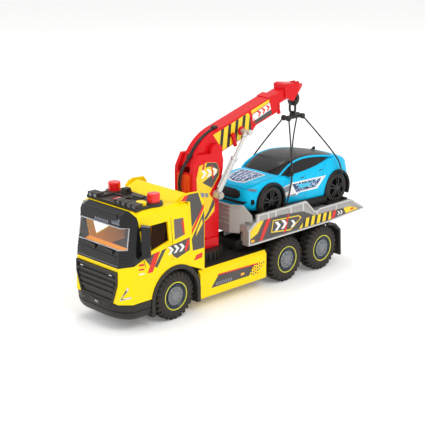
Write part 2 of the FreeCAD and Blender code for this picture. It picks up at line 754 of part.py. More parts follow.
def tube_along(points, radius, edge_radius=None):
    """Round tube on straight runs joined by tangent arcs, and its length."""
    runs = [(points[i + 1] - points[i]).Length for i in range(len(points) - 1)]
    edges = []
    start = points[0]
    length = 0.0
    for i in range(1, len(points) - 1):
        into = (points[i] - points[i - 1]).normalize()
        out = (points[i + 1] - points[i]).normalize()
        turn = into.getAngle(out)
        reach = 0.45 * min(runs[i - 1], runs[i])
        if edge_radius:
            reach = min(reach, edge_radius * math.tan(turn / 2))
        arc_start = points[i] - into * reach
        arc_end = points[i] + out * reach
        bend = reach / math.tan(turn / 2)
        middle_way = (out - into).normalize()
        middle = points[i] + middle_way * (bend / math.cos(turn / 2) - bend)
        edges.append(Part.LineSegment(start, arc_start).toShape())
        edges.append(Part.Arc(arc_start, middle, arc_end).toShape())
        length += (arc_start - start).Length + bend * turn
        start = arc_end
    edges.append(Part.LineSegment(start, points[-1]).toShape())
    length += (points[-1] - start).Length
    path = Part.Wire(edges)
    circle = Part.Wire([Part.Circle(points[0], points[1] - points[0], radius).toShape()])
    return path.makePipeShell([circle], True, False, 2), length


def hose_route(offset):
    """One hose: out of the upper clip, over the elbow, through the lower clip, down the tower's front."""
    places = [
        (30.0, 4.0, 265.4),
        (44.5, 3.0, 259.4),
        (58.0, 2.0, 251.9),
        (70.5, 1.5, 240.8),
        (80.5, 1.0, 226.6),
        (91.0, -0.5, 213.6),
        (96.2, -3.0, 201.6),
        (97.4, -5.2, 187.0),
        (96.6, -4.6, 171.0),
        (95.6, -3.6, 156.0),
    ]
    return [V(x, y + offset, z) for x, y, z in places]


def crane_hoses():
    return Part.makeCompound([tube_along(hose_route(offset), HOSE_RADIUS)[0] for offset in HOSE_OFFSETS])


def hose_clip(x, y, z, slope):
    clip = box(-3, 3, -4.4, 4.4, -3.4, 2.4)
    clip.rotate(V(0, 0, 0), V(0, 1, 0), slope)
    clip.translate(V(x, y, z))
    return cut(clip, crane_hoses(), boom_outer())


def hose_clips():
    """Two black clips that hold the hoses on the boom's back."""
    return Part.makeCompound([hose_clip(*UPPER_CLIP), hose_clip(*LOWER_CLIP)])


def hose_foot():
    """Black connector where both hoses end on the tower's front."""
    block = box(93.2, 98.6, -7.6, 0.4, 148, 156)
    return cut(block, crane_window(), crane_hoses())


# ---------------------------------------------------------------- sling
def sling_ring():
    """Oval link hanging in the hook."""
    top = HOOK_Z + 0.2
    bottom = SPREADER_Z + 6.4
    high = top - RING_HALF
    low = bottom + RING_HALF
    left_top = V(RING_X, RING_HALF, high)
    right_top = V(RING_X, -RING_HALF, high)
    right_low = V(RING_X, -RING_HALF, low)
    left_low = V(RING_X, RING_HALF, low)
    upper = [Part.Arc(left_top, V(RING_X, 0, top), right_top), Part.LineSegment(right_top, right_low)]
    lower = [Part.Arc(right_low, V(RING_X, 0, bottom), left_low), Part.LineSegment(left_low, left_top)]
    halves = []
    for curves, start in ((upper, left_top), (lower, right_low)):
        section = Part.Wire([Part.Circle(start, V(0, 0, 1), RING_WIRE).toShape()])
        path = Part.Wire([curve.toShape() for curve in curves])
        halves.append(path.makePipeShell([section], True, False, 2))
    return fuse(*halves)


def sling_spreader():
    """Small black H: a lug for the ring, a bar and two cross tubes with knobs."""
    z = SPREADER_Z
    bar = rod_x(0, z, 3.6, HOOK_X - SPREADER_HALF, HOOK_X + SPREADER_HALF)
    lug = cut(rod_y(RING_X, z + 4.8, 5.4, -1.6, 1.6), rod_y(RING_X, z + 6.4, RING_WIRE + 0.4, -3, 3))
    knob = 4.0
    crosses = []
    for end in (HOOK_X - SPREADER_HALF, HOOK_X + SPREADER_HALF):
        crosses.append(rod_y(end, z, 3.4, -KNOB_HALF, KNOB_HALF))
        for y in (-KNOB_HALF, KNOB_HALF - knob):
            crosses.append(rod_y(end, z, 4.6, y, y + knob))
    return cut(fuse(bar, lug, *crosses), sling_ring(), *sling_legs().values())


def sling_routes():
    """Each leg runs from a knob of the spreader over the car's shoulder to the wheel cradle."""
    start_y = KNOB_HALF - 1.5
    front = [
        V(HOOK_X + SPREADER_HALF, start_y, SPREADER_Z),
        V(-100, 51.0, 180.0),
        V(-91, 53.6, 148.0),
        V(-80.5, 53.0, 116.0),
    ]
    rear = [
        V(HOOK_X - SPREADER_HALF, start_y, SPREADER_Z),
        V(-207, 51.0, 190.0),
        V(-219, 54.0, 162.0),
        V(-221, 54.8, 134.0),
    ]
    return {"front": front, "rear": rear}


def sling_legs():
    """The four cords, each a node of its own, with their lengths printed."""
    nodes = {}
    for name, route in sling_routes().items():
        leg, length = tube_along(route, SLING_RADIUS, edge_radius=40.0)
        nodes["sling_leg_" + name + "_left"] = leg
        nodes["sling_leg_" + name + "_right"] = mirrored(leg)
        print("sling leg", name, "length", round(length, 1))
    return nodes


# ---------------------------------------------------------------- bed
def bed_carriage():
    """Black sliding sub-frame between the chassis rails and the bed."""
    rear = -211.0
    front = 6.0
    top = BED_BOTTOM - 0.7
    hinge_x, hinge_z = BED_HINGE
    runners = [box(rear, front, y, y + 9, RAIL_TOP + 0.3, top) for y in (-27.0, 18.0)]
    keel = box(rear, front, -13.6, 13.6, 57, 72)
    ties = [box(x, x + 10, -27, 27, 68, top) for x in (rear, -120.0, -30.0, front - 10)]
    ears = []
    for y in (-26.0, 21.0):
        ears.append(box(hinge_x - 5, hinge_x + 5, y, y + 5, top - 0.8, hinge_z))
        ears.append(rod_y(hinge_x, hinge_z, 5.0, y, y + 5))
    body = fuse(keel, *runners, *ties, *ears)
    return cut(body, rod_y(hinge_x, hinge_z, HINGE_PIN_RADIUS, -40, 40))


def bed_hinge_pin():
    return rod_y(*BED_HINGE, HINGE_PIN_RADIUS, -33, 33)


def bed_side():
    """Left side wall: rim, step in the middle and tapered tail, with a shallow panel outside."""
    tail = TRUCK_TAIL + 0.5
    outline = [
        (14, 81), (14, 106), (-2, 117), (-5, 117), (-5, 128.5), (-120.5, 128.5), (-141, 107.5),
        (-151, 107.5), (-153.5, 109.6), (-234, 109.6), (tail, 89.5), (tail, 86.5), (-173, BED_BOTTOM),
        (0, BED_BOTTOM),
    ]
    panel_outline = [
        (10, 84), (10, 104), (-6, 115.5), (-8.5, 122), (-119, 122), (-140, 103.8), (-232, 103.8),
        (-260, 88.5), (-174, 83.5), (0, 83.5),
    ]
    wall = side_prism(outline, HALF_WIDTH - BED_WALL, HALF_WIDTH)
    return cut(wall, side_prism(panel_outline, HALF_WIDTH - 0.8, HALF_WIDTH + 1))


def pitched(shape):
    """Tip a level shape nose-up to the slope of the bed's floor."""
    tipped = shape.copy()
    tipped.rotate(V(BED_LEVEL_X, 0, BED_FLOOR), V(0, 1, 0), -BED_SLOPE)
    return tipped


def bed_floor(top):
    """Floor plate that falls towards the tail, where it thins out as a ramp."""
    rise = math.tan(math.radians(BED_SLOPE))
    front = BED_FLOOR + (13 - BED_LEVEL_X) * rise
    rear = BED_FLOOR + (-236 - BED_LEVEL_X) * rise
    inner = HALF_WIDTH - BED_WALL + 0.01
    outline = [(13, BED_FLOOR - 4), (13, front + top), (-236, rear + top), (TRUCK_TAIL, 88.5),
               (TRUCK_TAIL, 85.7), (-234, rear - 5)]
    return side_prism(outline, -inner, inner)


def bed_deck():
    """Grey load bed: floor, side walls, corner blocks, ramp tail and hinge ears."""
    side = bed_side()
    corner_outline = [(14, 81), (14, 106), (-2, 117), (-5, 117), (-5, 81)]
    corner = side_prism(corner_outline, 50, HALF_WIDTH - BED_WALL + 0.01)
    ribs = [box(-200, 5, y, y + 2.5, 83, BED_FLOOR - 3) for y in (-40.0, -1.25, 37.5)]
    hinge_x, hinge_z = BED_HINGE
    ears = []
    for y in (-32.0, 27.0):
        ears.append(box(hinge_x - 5, hinge_x + 5, y, y + 5, hinge_z, BED_FLOOR - 6))
        ears.append(rod_y(hinge_x, hinge_z, 5, y, y + 5))
    body = fuse(bed_floor(0), side, mirrored(side), corner, mirrored(corner), *ribs, *ears)
    return cut(body, rod_y(hinge_x, hinge_z, HINGE_PIN_RADIUS + RUNNING_FIT, -40, 40))


def bed_headboard():
    """Folded front wall of the bed with a sloping top at each side."""
    top = 143.5
    plan = mirror_outline([(0.5, 58.5), (3.5, 58.5), (22, 28.8)])
    inner_plan = mirror_outline([(-0.5, 56.8), (0.5, 56.5), (19, 27.9)])
    wall = cut(plan_prism(plan, BED_FLOOR + 0.01, top), plan_prism(inner_plan, BED_FLOOR - 1, top + 1))
    skirt = plan_prism(mirror_outline([(13.1, 43.1), (22, 28.8)]), 98, BED_FLOOR + 0.02)
    rim_plan = mirror_outline([(9.6, 43.2), (13.6, 45.5), (23.2, 29.4)])
    inner_rim = mirror_outline([(8.5, 43.8), (9.6, 43.2), (18.2, 27.4)])
    rim = cut(plan_prism(rim_plan, top - 2.5, top), plan_prism(inner_rim, top - 3, top + 1))
    slope = front_prism([(45.5, 145), (45.5, top), (59, 125), (70, 125), (70, 145)], -20, 40)
    corner = box(-20, 40, 49.8, 60, 90, 117.2)
    body = fuse(wall, skirt, rim)
    return cut(body, slope, mirrored(slope), corner, mirrored(corner), bed_floor(0.05))


# ---------------------------------------------------------------- car
def mirror_outline(half):
    """Close a half outline given as (x, y) by its mirror image."""
    return half + [(x, -y) for x, y in reversed(half)]


def car_shell_form():
    """Outside form of the lower body: side view, plan and front view brought together."""
    wide = CAR_HALF_WIDTH
    side = [(-3, 128), (-3, 148), (-9, 156), (-24, 164), (-52, 171.5), (-72, 175), (-110, 178),
            (-180, 183), (-225, 184), (-243, 178), (-253, 168), (-255, 140), (-246, 122), (-190, 117),
            (-24, 117), (-8, 121)]
    plan = [(-3, 24), (-9, 37), (-24, 46.5), (-50, wide), (-215, wide), (-243, 43), (-255, 29)]
    front = [(-47, 117), (-wide, 133), (-wide, 158), (-45, 168), (-28, 185),
             (28, 185), (45, 168), (wide, 158), (wide, 133), (47, 117)]
    form = side_prism(side, -60, 60).common(plan_prism(mirror_outline(plan), 110, 190))
    return form.common(front_prism(front, -260, 0))


def car_body():
    """Blue shell up to the window line, with four wheel arches."""
    arches = []
    inner = 30.2
    reach = CAR_WHEEL_RADIUS + 3.2
    for x in CAR_AXLE_X.values():
        for y0, y1 in ((inner, 60), (-60, -inner)):
            arches.append(rod_y(x, CAR_WHEEL_Z, reach, y0, y1))
            arches.append(box(x - reach, x + reach, y0, y1, 90, CAR_WHEEL_Z))
    hollow = box(-236, -20, -inner, inner, 100, 150)
    return pitched(cut(car_shell_form(), hollow, cabin_form(), *arches))


def cabin_form():
    """Outside form of the car's windows and roof."""
    side = [(-66, 170), (-66, 173), (-86, 184), (-108, 194.5), (-130, 198), (-160, 197), (-204, 191),
            (-232, 183), (-244, 174), (-244, 170)]
    plan = [(-66, 24), (-76, 41), (-84, 46.5), (-222, 46), (-238, 37), (-246, 20)]
    front = [(-46.5, 170), (-41, 184), (-37, 190), (-24, 198.5),
             (24, 198.5), (37, 190), (41, 184), (46.5, 170)]
    form = side_prism(side, -50, 50).common(front_prism(front, -260, -50))
    return form.common(plan_prism(mirror_outline(plan), 160, 205))


def car_cabin():
    """Windows and roof as one dark block that tapers upwards."""
    return pitched(cabin_form())


def car_chassis():
    """Black base plate with sills and axle bearers."""
    plate = box(-236, -20, -29.2, 29.2, 112, 118)
    sills = [box(-184.5, -80.5, y, y + 20, 113, 116.9) for y in (-49.5, 29.5)]
    sill_ties = [box(-184.5, -80.5, y, y + 2, 113, 116.9) for y in (-30.0, 28.0)]
    bearers = [box(x - 5, x + 5, -29.2, 29.2, 117, 138) for x in CAR_AXLE_X.values()]
    body = fuse(plate, *sills, *sill_ties, *bearers)
    bore_radius = CAR_SHAFT_RADIUS + RUNNING_FIT
    bores = [rod_y(x, CAR_WHEEL_Z, bore_radius, -40, 40) for x in CAR_AXLE_X.values()]
    return pitched(cut(body, *bores))


def car_wheels(x):
    """Two wheels pressed on their shaft."""
    inner_y = 32.0
    outer_y = 48.5
    shaft_reach = inner_y + 9
    wheel = rod_y(x, CAR_WHEEL_Z, CAR_WHEEL_RADIUS, inner_y, outer_y)
    wheel = wheel.makeChamfer(2.0, [edge for edge in wheel.Edges if len(edge.Vertexes) == 1])
    dish = rod_y(x, CAR_WHEEL_Z, 17.0, outer_y - 3, outer_y + 1)
    spokes = []
    spoke_count = 5
    for i in range(spoke_count):
        spoke = box(-2.4, 2.4, outer_y - 3.2, outer_y - 0.8, 0, 17.2)
        spoke.rotate(V(0, 0, 0), V(0, 1, 0), i * 360 / spoke_count)
        spoke.translate(V(x, 0, CAR_WHEEL_Z))
        spokes.append(spoke)
    hub = rod_y(x, CAR_WHEEL_Z, 4.5, outer_y - 3.2, outer_y - 0.5)
    wheel = fuse(cut(wheel, dish), hub, *spokes)
    wheel = cut(wheel, rod_y(x, CAR_WHEEL_Z, CAR_SHAFT_RADIUS, inner_y - 1, shaft_reach))
    shaft = rod_y(x, CAR_WHEEL_Z, CAR_SHAFT_RADIUS, -shaft_reach, shaft_reach)
    return pitched(Part.makeCompound([wheel, mirrored(wheel), shaft]))


def wheel_cradles():
    """Black trays under each pair of car wheels, with a bar before and behind the tyres."""
    trays = []
    low = BED_FLOOR + 0.4
    half = 53.0
    for x in CAR_AXLE_X.values():
        tray = box(x - 24, x + 24, -half, half, low, CAR_WHEEL_Z - CAR_WHEEL_RADIUS - 0.2)
        bars = []
        for bar_x in (x - 24, x + 18.8):
            for y in (-half, half - 22):
                bars.append(box(bar_x, bar_x + 5.2, y, y + 22, low, 113.6))
        edges = [box(x - 24, x + 24, y, y + 1.6, low, 112) for y in (-half, half - 1.6)]
        trays.append(fuse(tray, *bars, *edges))
    return pitched(Part.makeCompound(trays))


# ---------------------------------------------------------------- all nodes
def nodes():
    frame = chassis_frame()
    made = {
        "chassis_frame": frame,
        "battery_box": battery_box(),
        "battery_cover": battery_cover(),
        "assembly_screws": assembly_screws(),
        "front_fenders": pair(front_fender()),
        "side_skirts": pair(cut(side_skirt(), frame)),
        "rear_mudguards": pair(cut(rear_mudguard(), frame)),
        "cab_shell": cab_shell(),
        "cab_mask": cab_mask(),
        "windscreen": windscreen(),
        "cab_interior": cab_interior(),
        "cab_seats": cab_seats(),
        "grille": grille(),
        "front_bumper": cut(front_bumper(), frame),
        "mirrors": mirrors(),
        "wipers": wipers(),
        "light_bar": light_bar(),
        "beacons": beacons(),
        "sound_button": sound_button(),
        "roof_spoiler": roof_spoiler(),
        "side_fairings": pair(side_fairing()),
        "turntable_base": turntable_base(),
        "crane_column": crane_column(),
        "crane_window": crane_window(),
        "boom_pin": boom_pin(),
        "lift_pins": lift_pins(),
        "boom_outer": boom_outer(),
        "boom_inner": boom_inner(),
        "boom_head": boom_head(),
        "crane_hook": crane_hook(),
        "lift_barrels": lift_barrels(),
        "lift_rods": lift_rods(),
        "crane_hoses": crane_hoses(),
        "hose_clips": hose_clips(),
        "hose_foot": hose_foot(),
        "sling_ring": sling_ring(),
        "sling_spreader": sling_spreader(),
        "bed_carriage": bed_carriage(),
        "bed_hinge_pin": bed_hinge_pin(),
        "bed_deck": bed_deck(),
        "bed_headboard": bed_headboard(),
        "car_body": car_body(),
        "car_cabin": car_cabin(),
        "car_chassis": car_chassis(),
        "car_wheels_front": car_wheels(CAR_AXLE_X["front"]),
        "car_wheels_rear": car_wheels(CAR_AXLE_X["rear"]),
        "wheel_cradles": wheel_cradles(),
    }
    made.update(wheel_nodes())
    made.update(sling_legs())
    return made


def main():
    os.makedirs("parts", exist_ok=True)
    for name, shape in nodes().items():
        shape.exportStep("parts/" + name + ".step")


main()
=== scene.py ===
import math

import bmesh
import bpy
from mathutils import Matrix, Vector
from mathutils.bvhtree import BVHTree


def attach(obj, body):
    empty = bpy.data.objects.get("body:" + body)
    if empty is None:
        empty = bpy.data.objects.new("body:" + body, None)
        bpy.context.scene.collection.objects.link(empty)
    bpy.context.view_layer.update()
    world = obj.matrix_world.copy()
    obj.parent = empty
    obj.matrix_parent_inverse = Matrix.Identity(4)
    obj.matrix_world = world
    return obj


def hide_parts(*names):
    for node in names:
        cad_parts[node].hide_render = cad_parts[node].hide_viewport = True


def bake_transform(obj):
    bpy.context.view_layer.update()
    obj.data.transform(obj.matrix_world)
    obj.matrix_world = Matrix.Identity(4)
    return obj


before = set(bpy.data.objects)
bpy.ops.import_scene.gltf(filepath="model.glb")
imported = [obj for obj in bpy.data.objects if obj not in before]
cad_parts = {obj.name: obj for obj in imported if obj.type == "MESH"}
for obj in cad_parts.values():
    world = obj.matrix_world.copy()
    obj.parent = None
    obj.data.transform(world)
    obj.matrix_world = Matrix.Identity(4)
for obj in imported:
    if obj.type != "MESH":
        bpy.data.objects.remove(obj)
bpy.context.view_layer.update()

# Toy recovery truck: finish, printed graphics and the pieces that CAD leaves plain.
# Pieces are built in millimetres and scaled to metres. Lamps, floor, camera and cord lengths are in metres.

MM = 0.001

HALF_WIDTH = 63.5
WHEEL_RADIUS = 38.0
AXLES = {"front": 167.0, "middle": -77.4, "rear": -163.4}
BED_SLOPE = 2.6
SLOPE_PIVOT = (-150.0, 105.5)
BOOM_PIVOT = (41.0, 231.0)
BOOM_RISE = 16.6
BOOM_SIDE = 13.0
COLUMN_SIDE = 20.0
CAR_AXLES = {"front": -52.0, "rear": -213.0}
CAR_WHEEL_Z = 132.8
CAR_WHEEL_FACE = 48.5
ARCH_RADIUS = 27.6


# ---------------------------------------------------------------- materials
PER_METRE = 1000
SHARDS_PER_METRE = 560.0


def feed(tree, socket, value):
    """Link a shader input to another node's output, or set it to a plain value."""
    if isinstance(value, bpy.types.NodeSocket):
        tree.links.new(value, socket)
    else:
        socket.default_value = value


def linked(tree, kind, **inputs):
    """New shader node with its named inputs set or linked."""
    node = tree.nodes.new(kind)
    for name, value in inputs.items():
        feed(tree, node.inputs[name.replace("_", " ")], value)
    return node


def shade(colour, factor=1.0):
    """Colour times a factor, with full opacity."""
    return [min(1.0, c * factor) for c in colour] + [1.0]


def mixed(tree, factor, low, high):
    """Colour between low and high by a factor."""
    node = tree.nodes.new("ShaderNodeMix")
    node.data_type = "RGBA"
    # Inputs 0, 6 and 7 are the factor and the two colours, and output 2 is the mixed colour.
    for index, value in ((0, factor), (6, low), (7, high)):
        feed(tree, node.inputs[index], value)
    return node.outputs[2]


def material(name, colour, rough=0.32, metal=0.0, coat=0.0, grain=0.05, grain_size=0.6, tint=0.05,
             patch_size=14.0, edge=0.7, alpha=1.0, pattern=None, glow=0.0, spec=0.35):
    """Moulded or printed surface: slight mottling, varied gloss, fine grain and softened edges.

    grain_size, patch_size and edge are millimetres. tint is how far the mottling goes either way.
    A pattern takes the place of the colour.
    """
    made = bpy.data.materials.new(name)
    made.use_nodes = True
    tree = made.node_tree
    shader = tree.nodes["Principled BSDF"]
    settings = {"Metallic": metal, "Coat Weight": coat, "Coat Roughness": 0.08, "Specular IOR Level": spec,
                "Alpha": alpha}
    if glow:
        settings.update({"Emission Color": shade(colour), "Emission Strength": glow})
    for socket, value in settings.items():
        shader.inputs[socket].default_value = value
    place = tree.nodes.new("ShaderNodeTexCoord").outputs["Object"]
    patches = linked(tree, "ShaderNodeTexNoise", Vector=place, Scale=PER_METRE / patch_size, Detail=3.0)
    fine = linked(tree, "ShaderNodeTexNoise", Vector=place, Scale=PER_METRE / grain_size, Detail=2.0)
    if pattern:
        base = pattern(tree, place)
    else:
        base = mixed(tree, patches.outputs["Fac"], shade(colour, 1 - tint), shade(colour, 1 + tint))
    tree.links.new(base, shader.inputs["Base Color"])
    gloss = linked(tree, "ShaderNodeMapRange", Value=patches.outputs["Fac"], To_Min=max(0.03, rough - 0.07),
                   To_Max=rough + 0.08)
    tree.links.new(gloss.outputs["Result"], shader.inputs["Roughness"])
    bump = linked(tree, "ShaderNodeBump", Height=fine.outputs["Fac"], Strength=grain, Distance=0.0002)
    if edge:
        bevel = linked(tree, "ShaderNodeBevel", Radius=edge * MM)
        bevel.samples = 4
        tree.links.new(bevel.outputs["Normal"], bump.inputs["Normal"])
    tree.links.new(bump.outputs["Normal"], shader.inputs["Normal"])
    return made


def bands(period, low, high, slant=(1, 0, 1)):
    """Printed diagonal lines of the given period in millimetres."""
    def build(tree, place):
        along = linked(tree, "ShaderNodeVectorMath", Vector=place)
        along.operation = "DOT_PRODUCT"
        along.inputs[1].default_value = Vector(slant).normalized() * (PER_METRE / period)
        wave = linked(tree, "ShaderNodeMath", Value=along.outputs["Value"])
        wave.operation = "FRACT"
        step = linked(tree, "ShaderNodeMath", Value=wave.outputs[0])
        step.operation = "GREATER_THAN"
        step.inputs[1].default_value = 0.5
        return mixed(tree, step.outputs[0], shade(low), shade(high))
    return build


def camouflage(*colours):
    """Printed shards in a few tones, cut by a cell pattern."""
    def build(tree, place):
        cells = linked(tree, "ShaderNodeTexVoronoi", Vector=place, Scale=SHARDS_PER_METRE)
        ramp = tree.nodes.new("ShaderNodeValToRGB")
        ramp.color_ramp.interpolation = "CONSTANT"
        while len(ramp.color_ramp.elements) < len(colours):
            ramp.color_ramp.elements.new(0.5)
        for i, colour in enumerate(colours):
            ramp.color_ramp.elements[i].position = i / len(colours)
            ramp.color_ramp.elements[i].color = shade(colour)
        split = tree.nodes.new("ShaderNodeSeparateColor")
        tree.links.new(cells.outputs["Color"], split.inputs[0])
        tree.links.new(split.outputs[0], ramp.inputs["Fac"])
        return ramp.outputs["Color"]
    return build


YELLOW = (0.92, 0.66, 0.0)
RED = (0.66, 0.006, 0.010)
GREY = (0.36, 0.345, 0.33)
CYAN = (0.0, 0.49, 0.80)
CORD_WEAVE = bands(0.9, (0.018, 0.016, 0.015), (0.06, 0.055, 0.05), (1, 1, 1))

MAT = {
    "yellow": material("yellow_plastic", YELLOW, 0.30, tint=0.03, spec=0.18),
    "red": material("red_plastic", RED, 0.24, coat=0.03, tint=0.06, spec=0.16),
    "black": material("black_plastic", (0.026, 0.023, 0.020), 0.42, grain=0.10, tint=0.12, spec=0.25),
    "gloss_black": material("glossy_black", (0.007, 0.007, 0.0075), 0.16, grain=0.02, coat=0.05, spec=0.30),
    "roof_grey": material("dark_grey_plastic", (0.036, 0.030, 0.026), 0.40, grain=0.12, tint=0.15, spec=0.22),
    "tyre": material("tyre_rubber", (0.034, 0.029, 0.025), 0.62, grain=0.25, grain_size=0.9, tint=0.2,
                     spec=0.2),
    "bed": material("silver_grey_plastic", GREY, 0.38, metal=0.25, grain=0.10, tint=0.06),
    # Painted highlight: a lighter silver for edges, rims and ribs of the silver-grey bed.
    "rail": material("highlight_silver", (0.60, 0.59, 0.57), 0.28, metal=0.5),
    "silver": material("silver_plastic", (0.62, 0.61, 0.59), 0.30, metal=0.55, grain=0.06),
    "pin": material("pin_metal", (0.45, 0.40, 0.34), 0.30, metal=0.8),
    "steel": material("axle_steel", (0.55, 0.55, 0.56), 0.28, metal=1.0, grain=0.04),
    "glass": material("windscreen_clear", (0.90, 0.93, 0.95), 0.06, alpha=0.05, grain=0.0, edge=0),
    # Painted highlight: pale bluish grey for the bright edge round the clear windscreen.
    "pale": material("windscreen_edge_highlight", (0.42, 0.43, 0.47), 0.25, grain=0.02),
    "beacon": material("beacon_red", (0.72, 0.010, 0.010), 0.16, coat=0.4, grain=0.02, glow=0.08),
    # Painted light: the red crane window is no lamp but is given a faint glow.
    "lens": material("crane_window_red_glowing", (0.72, 0.060, 0.010), 0.16, coat=0.4, grain=0.02, glow=0.10),
    # Painted shade and painted light: the cab's inside is yellow plastic, drawn as a darker orange for the
    # shade inside the cab and given a glow to brighten it.
    "orange": material("interior_shaded_yellow_glow", (0.95, 0.33, 0.01), 0.45, grain=0.08, glow=0.42),
    "seat": material("seat_black", (0.03, 0.028, 0.028), 0.6, grain=0.3, grain_size=1.4),
    "cyan": material("car_blue", CYAN, 0.28, coat=0.05, tint=0.03, spec=0.16),
    "car_glass": material("car_window_black", (0.012, 0.010, 0.010), 0.22, grain=0.03, spec=0.3),
    "car_roof": material("car_roof_black", (0.024, 0.021, 0.020), 0.34, grain=0.12, spec=0.3),
    "trim": material("car_trim_black", (0.011, 0.010, 0.010), 0.40, grain=0.10, spec=0.22),
    "hub": material("hub_grey", (0.20, 0.215, 0.225), 0.36, metal=0.5, grain=0.3, grain_size=1.8, tint=0.3,
                    patch_size=3.0),
    "navy": material("hub_navy", (0.030, 0.042, 0.062), 0.35, grain=0.06),
    "ring": material("ring_yellow_green", (0.68, 0.66, 0.05), 0.35, grain=0.02),
    "cord": material("braided_cord", None, 0.75, grain=0.5, grain_size=0.5, pattern=CORD_WEAVE),
    "lamp_lens": material("lamp_lens", (0.16, 0.17, 0.18), 0.12, metal=0.4, coat=0.5, grain=0.0),
    "hose": material("hose_black", (0.016, 0.015, 0.014), 0.38, coat=0.15),
}
INK = {
    "navy": (0.0, 0.055, 0.11), "black": (0.020, 0.018, 0.017), "red": (0.66, 0.022, 0.014),
    "yellow": (0.86, 0.60, 0.015), "white": (0.80, 0.80, 0.79), "sky": (0.05, 0.50, 0.72),
    "smoke": (0.23, 0.25, 0.30),
}
INK_PATTERN = {
    # name: roughness, pattern
    "carbon": (0.35, bands(1.7, (0.036, 0.032, 0.030), (0.105, 0.095, 0.088))),
    "hatch": (0.35, bands(2.4, (0.085, 0.065, 0.062), (0.19, 0.15, 0.15))),
    "shards": (0.30, camouflage((0.012, 0.03, 0.10), (0.10, 0.20, 0.38), (0.03, 0.07, 0.2),
                                (0.55, 0.66, 0.80), (0.02, 0.05, 0.14))),
    "pale_shards": (0.30, camouflage((0.30, 0.40, 0.60), (0.62, 0.70, 0.84), (0.12, 0.20, 0.40),
                                     (0.72, 0.78, 0.88))),
}
PRINT = {name: material("print_" + name, colour, 0.35, edge=0) for name, colour in INK.items()}
for name, (rough, pattern) in INK_PATTERN.items():
    PRINT[name] = material("print_" + name, None, rough, edge=0, pattern=pattern)
PRINT["orange"] = material("print_orange", (0.95, 0.42, 0.02), 0.3, edge=0)
PRINT["lamp"] = material("print_lamp", (0.62, 0.60, 0.52), 0.15, metal=0.5, edge=0)


# ---------------------------------------------------------------- mesh helpers
def metres(points):
    """Points in millimetres as scene vectors."""
    return [Vector(p) * MM for p in points]


def add_object(name, data):
    """New scene object that shows the data."""
    made = bpy.data.objects.new(name, data)
    bpy.context.scene.collection.objects.link(made)
    return made


def mesh_object(name, bm):
    """Turn a bmesh built in millimetres into an object in metres."""
    bmesh.ops.remove_doubles(bm, verts=bm.verts, dist=0.001)
    bmesh.ops.recalc_face_normals(bm, faces=bm.faces)
    bmesh.ops.scale(bm, vec=(MM, MM, MM), verts=bm.verts)
    mesh = bpy.data.meshes.new(name)
    bm.to_mesh(mesh)
    bm.free()
    return add_object(name, mesh)


def final_mesh(item):
    """Copy of an object's mesh with its modifiers or curve settings applied."""
    bpy.context.view_layer.update()
    return bpy.data.meshes.new_from_object(item.evaluated_get(bpy.context.evaluated_depsgraph_get()))


def piece(name, bm, mats, body, stands_for=(), crease=35, edge=0, subdivide=0):
    """Make a visible object that rides on a body. crease is in degrees, edge is a bevel in millimetres."""
    made = mesh_object(name, bm)
    mesh = made.data
    for mat in mats:
        mesh.materials.append(mat)
    for face in mesh.polygons:
        face.use_smooth = True
    mesh.set_sharp_from_angle(angle=math.radians(crease))
    if edge:
        bevel = made.modifiers.new("edges", "BEVEL")
        bevel.width = edge * MM
        bevel.segments = 2
        bevel.angle_limit = math.radians(40)
    if subdivide:
        smooth = made.modifiers.new("smooth", "SUBSURF")
        smooth.levels = subdivide
        smooth.render_levels = subdivide
    if stands_for:
        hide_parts(*stands_for)
    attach(made, body)
    return made


def add_face(bm, points, mat=0):
    """One flat face through the points."""
    face = bm.faces.new([bm.verts.new(p) for p in points])
    face.material_index = mat


def join_rings(bm, low, high, mat=0):
    """Band of faces between two closed rings with the same number of vertices."""
    for i in range(len(low)):
        j = (i + 1) % len(low)
        bm.faces.new([low[i], low[j], high[j], high[i]]).material_index = mat


def add_prism(bm, outline, low, high, axis="y", mat=0):
    """Outline in the two other axes, in X, Y, Z order, filled from low to high along axis."""
    def place(a, b, c):
        return {"x": (c, a, b), "y": (a, c, b), "z": (a, b, c)}[axis]
    ends = [[bm.verts.new(place(a, b, level)) for a, b in outline] for level in (low, high)]
    for face in (bm.faces.new(ends[0][::-1]), bm.faces.new(ends[1])):
        face.material_index = mat
    join_rings(bm, *ends, mat)


def add_box(bm, x0, x1, y0, y1, z0, z1, mat=0):
    add_prism(bm, [(x0, y0), (x1, y0), (x1, y1), (x0, y1)], z0, z1, "z", mat)


def round_spot(centre, radius, angle, y):
    """Point on a circle about the Y line through centre (x, z)."""
    return (centre[0] + radius * math.cos(angle), y, centre[1] + radius * math.sin(angle))


def add_turned(bm, profile, centre, steps=64, mats=None):
    """Turn a profile of (radius, y) about the Y line through centre (x, z)."""
    rings = []
    for radius, y in profile:
        spots = [round_spot(centre, radius, 2 * math.pi * i / steps, y) for i in range(steps)]
        rings.append([bm.verts.new(spot) for spot in spots])
    for k in range(len(rings) - 1):
        join_rings(bm, rings[k], rings[k + 1], mats[k] if mats else 0)


def add_ribbon(bm, points, width, height, up=(0, 0, 1), mat=0, closed=False):
    """Rectangular strip along a line of points; width lies across the line, height along up."""
    points = [Vector(p) for p in points]
    count = len(points)
    rings = []
    for i, point in enumerate(points):
        before = points[i - 1] if i or closed else points[i]
        after = points[(i + 1) % count] if i + 1 < count or closed else points[i]
        way = (after - before).normalized()
        across = way.cross(Vector(up)).normalized() * width / 2
        rise = across.cross(way).normalized() * height / 2
        corners = (across + rise, across - rise, -across - rise, rise - across)
        rings.append([bm.verts.new(point + corner) for corner in corners])
    for low, high in zip(rings, rings[1:] + rings[:1] if closed else rings[1:]):
        join_rings(bm, low, high, mat)
    if not closed:
        for ring in (rings[0], rings[-1]):
            bm.faces.new(ring).material_index = mat


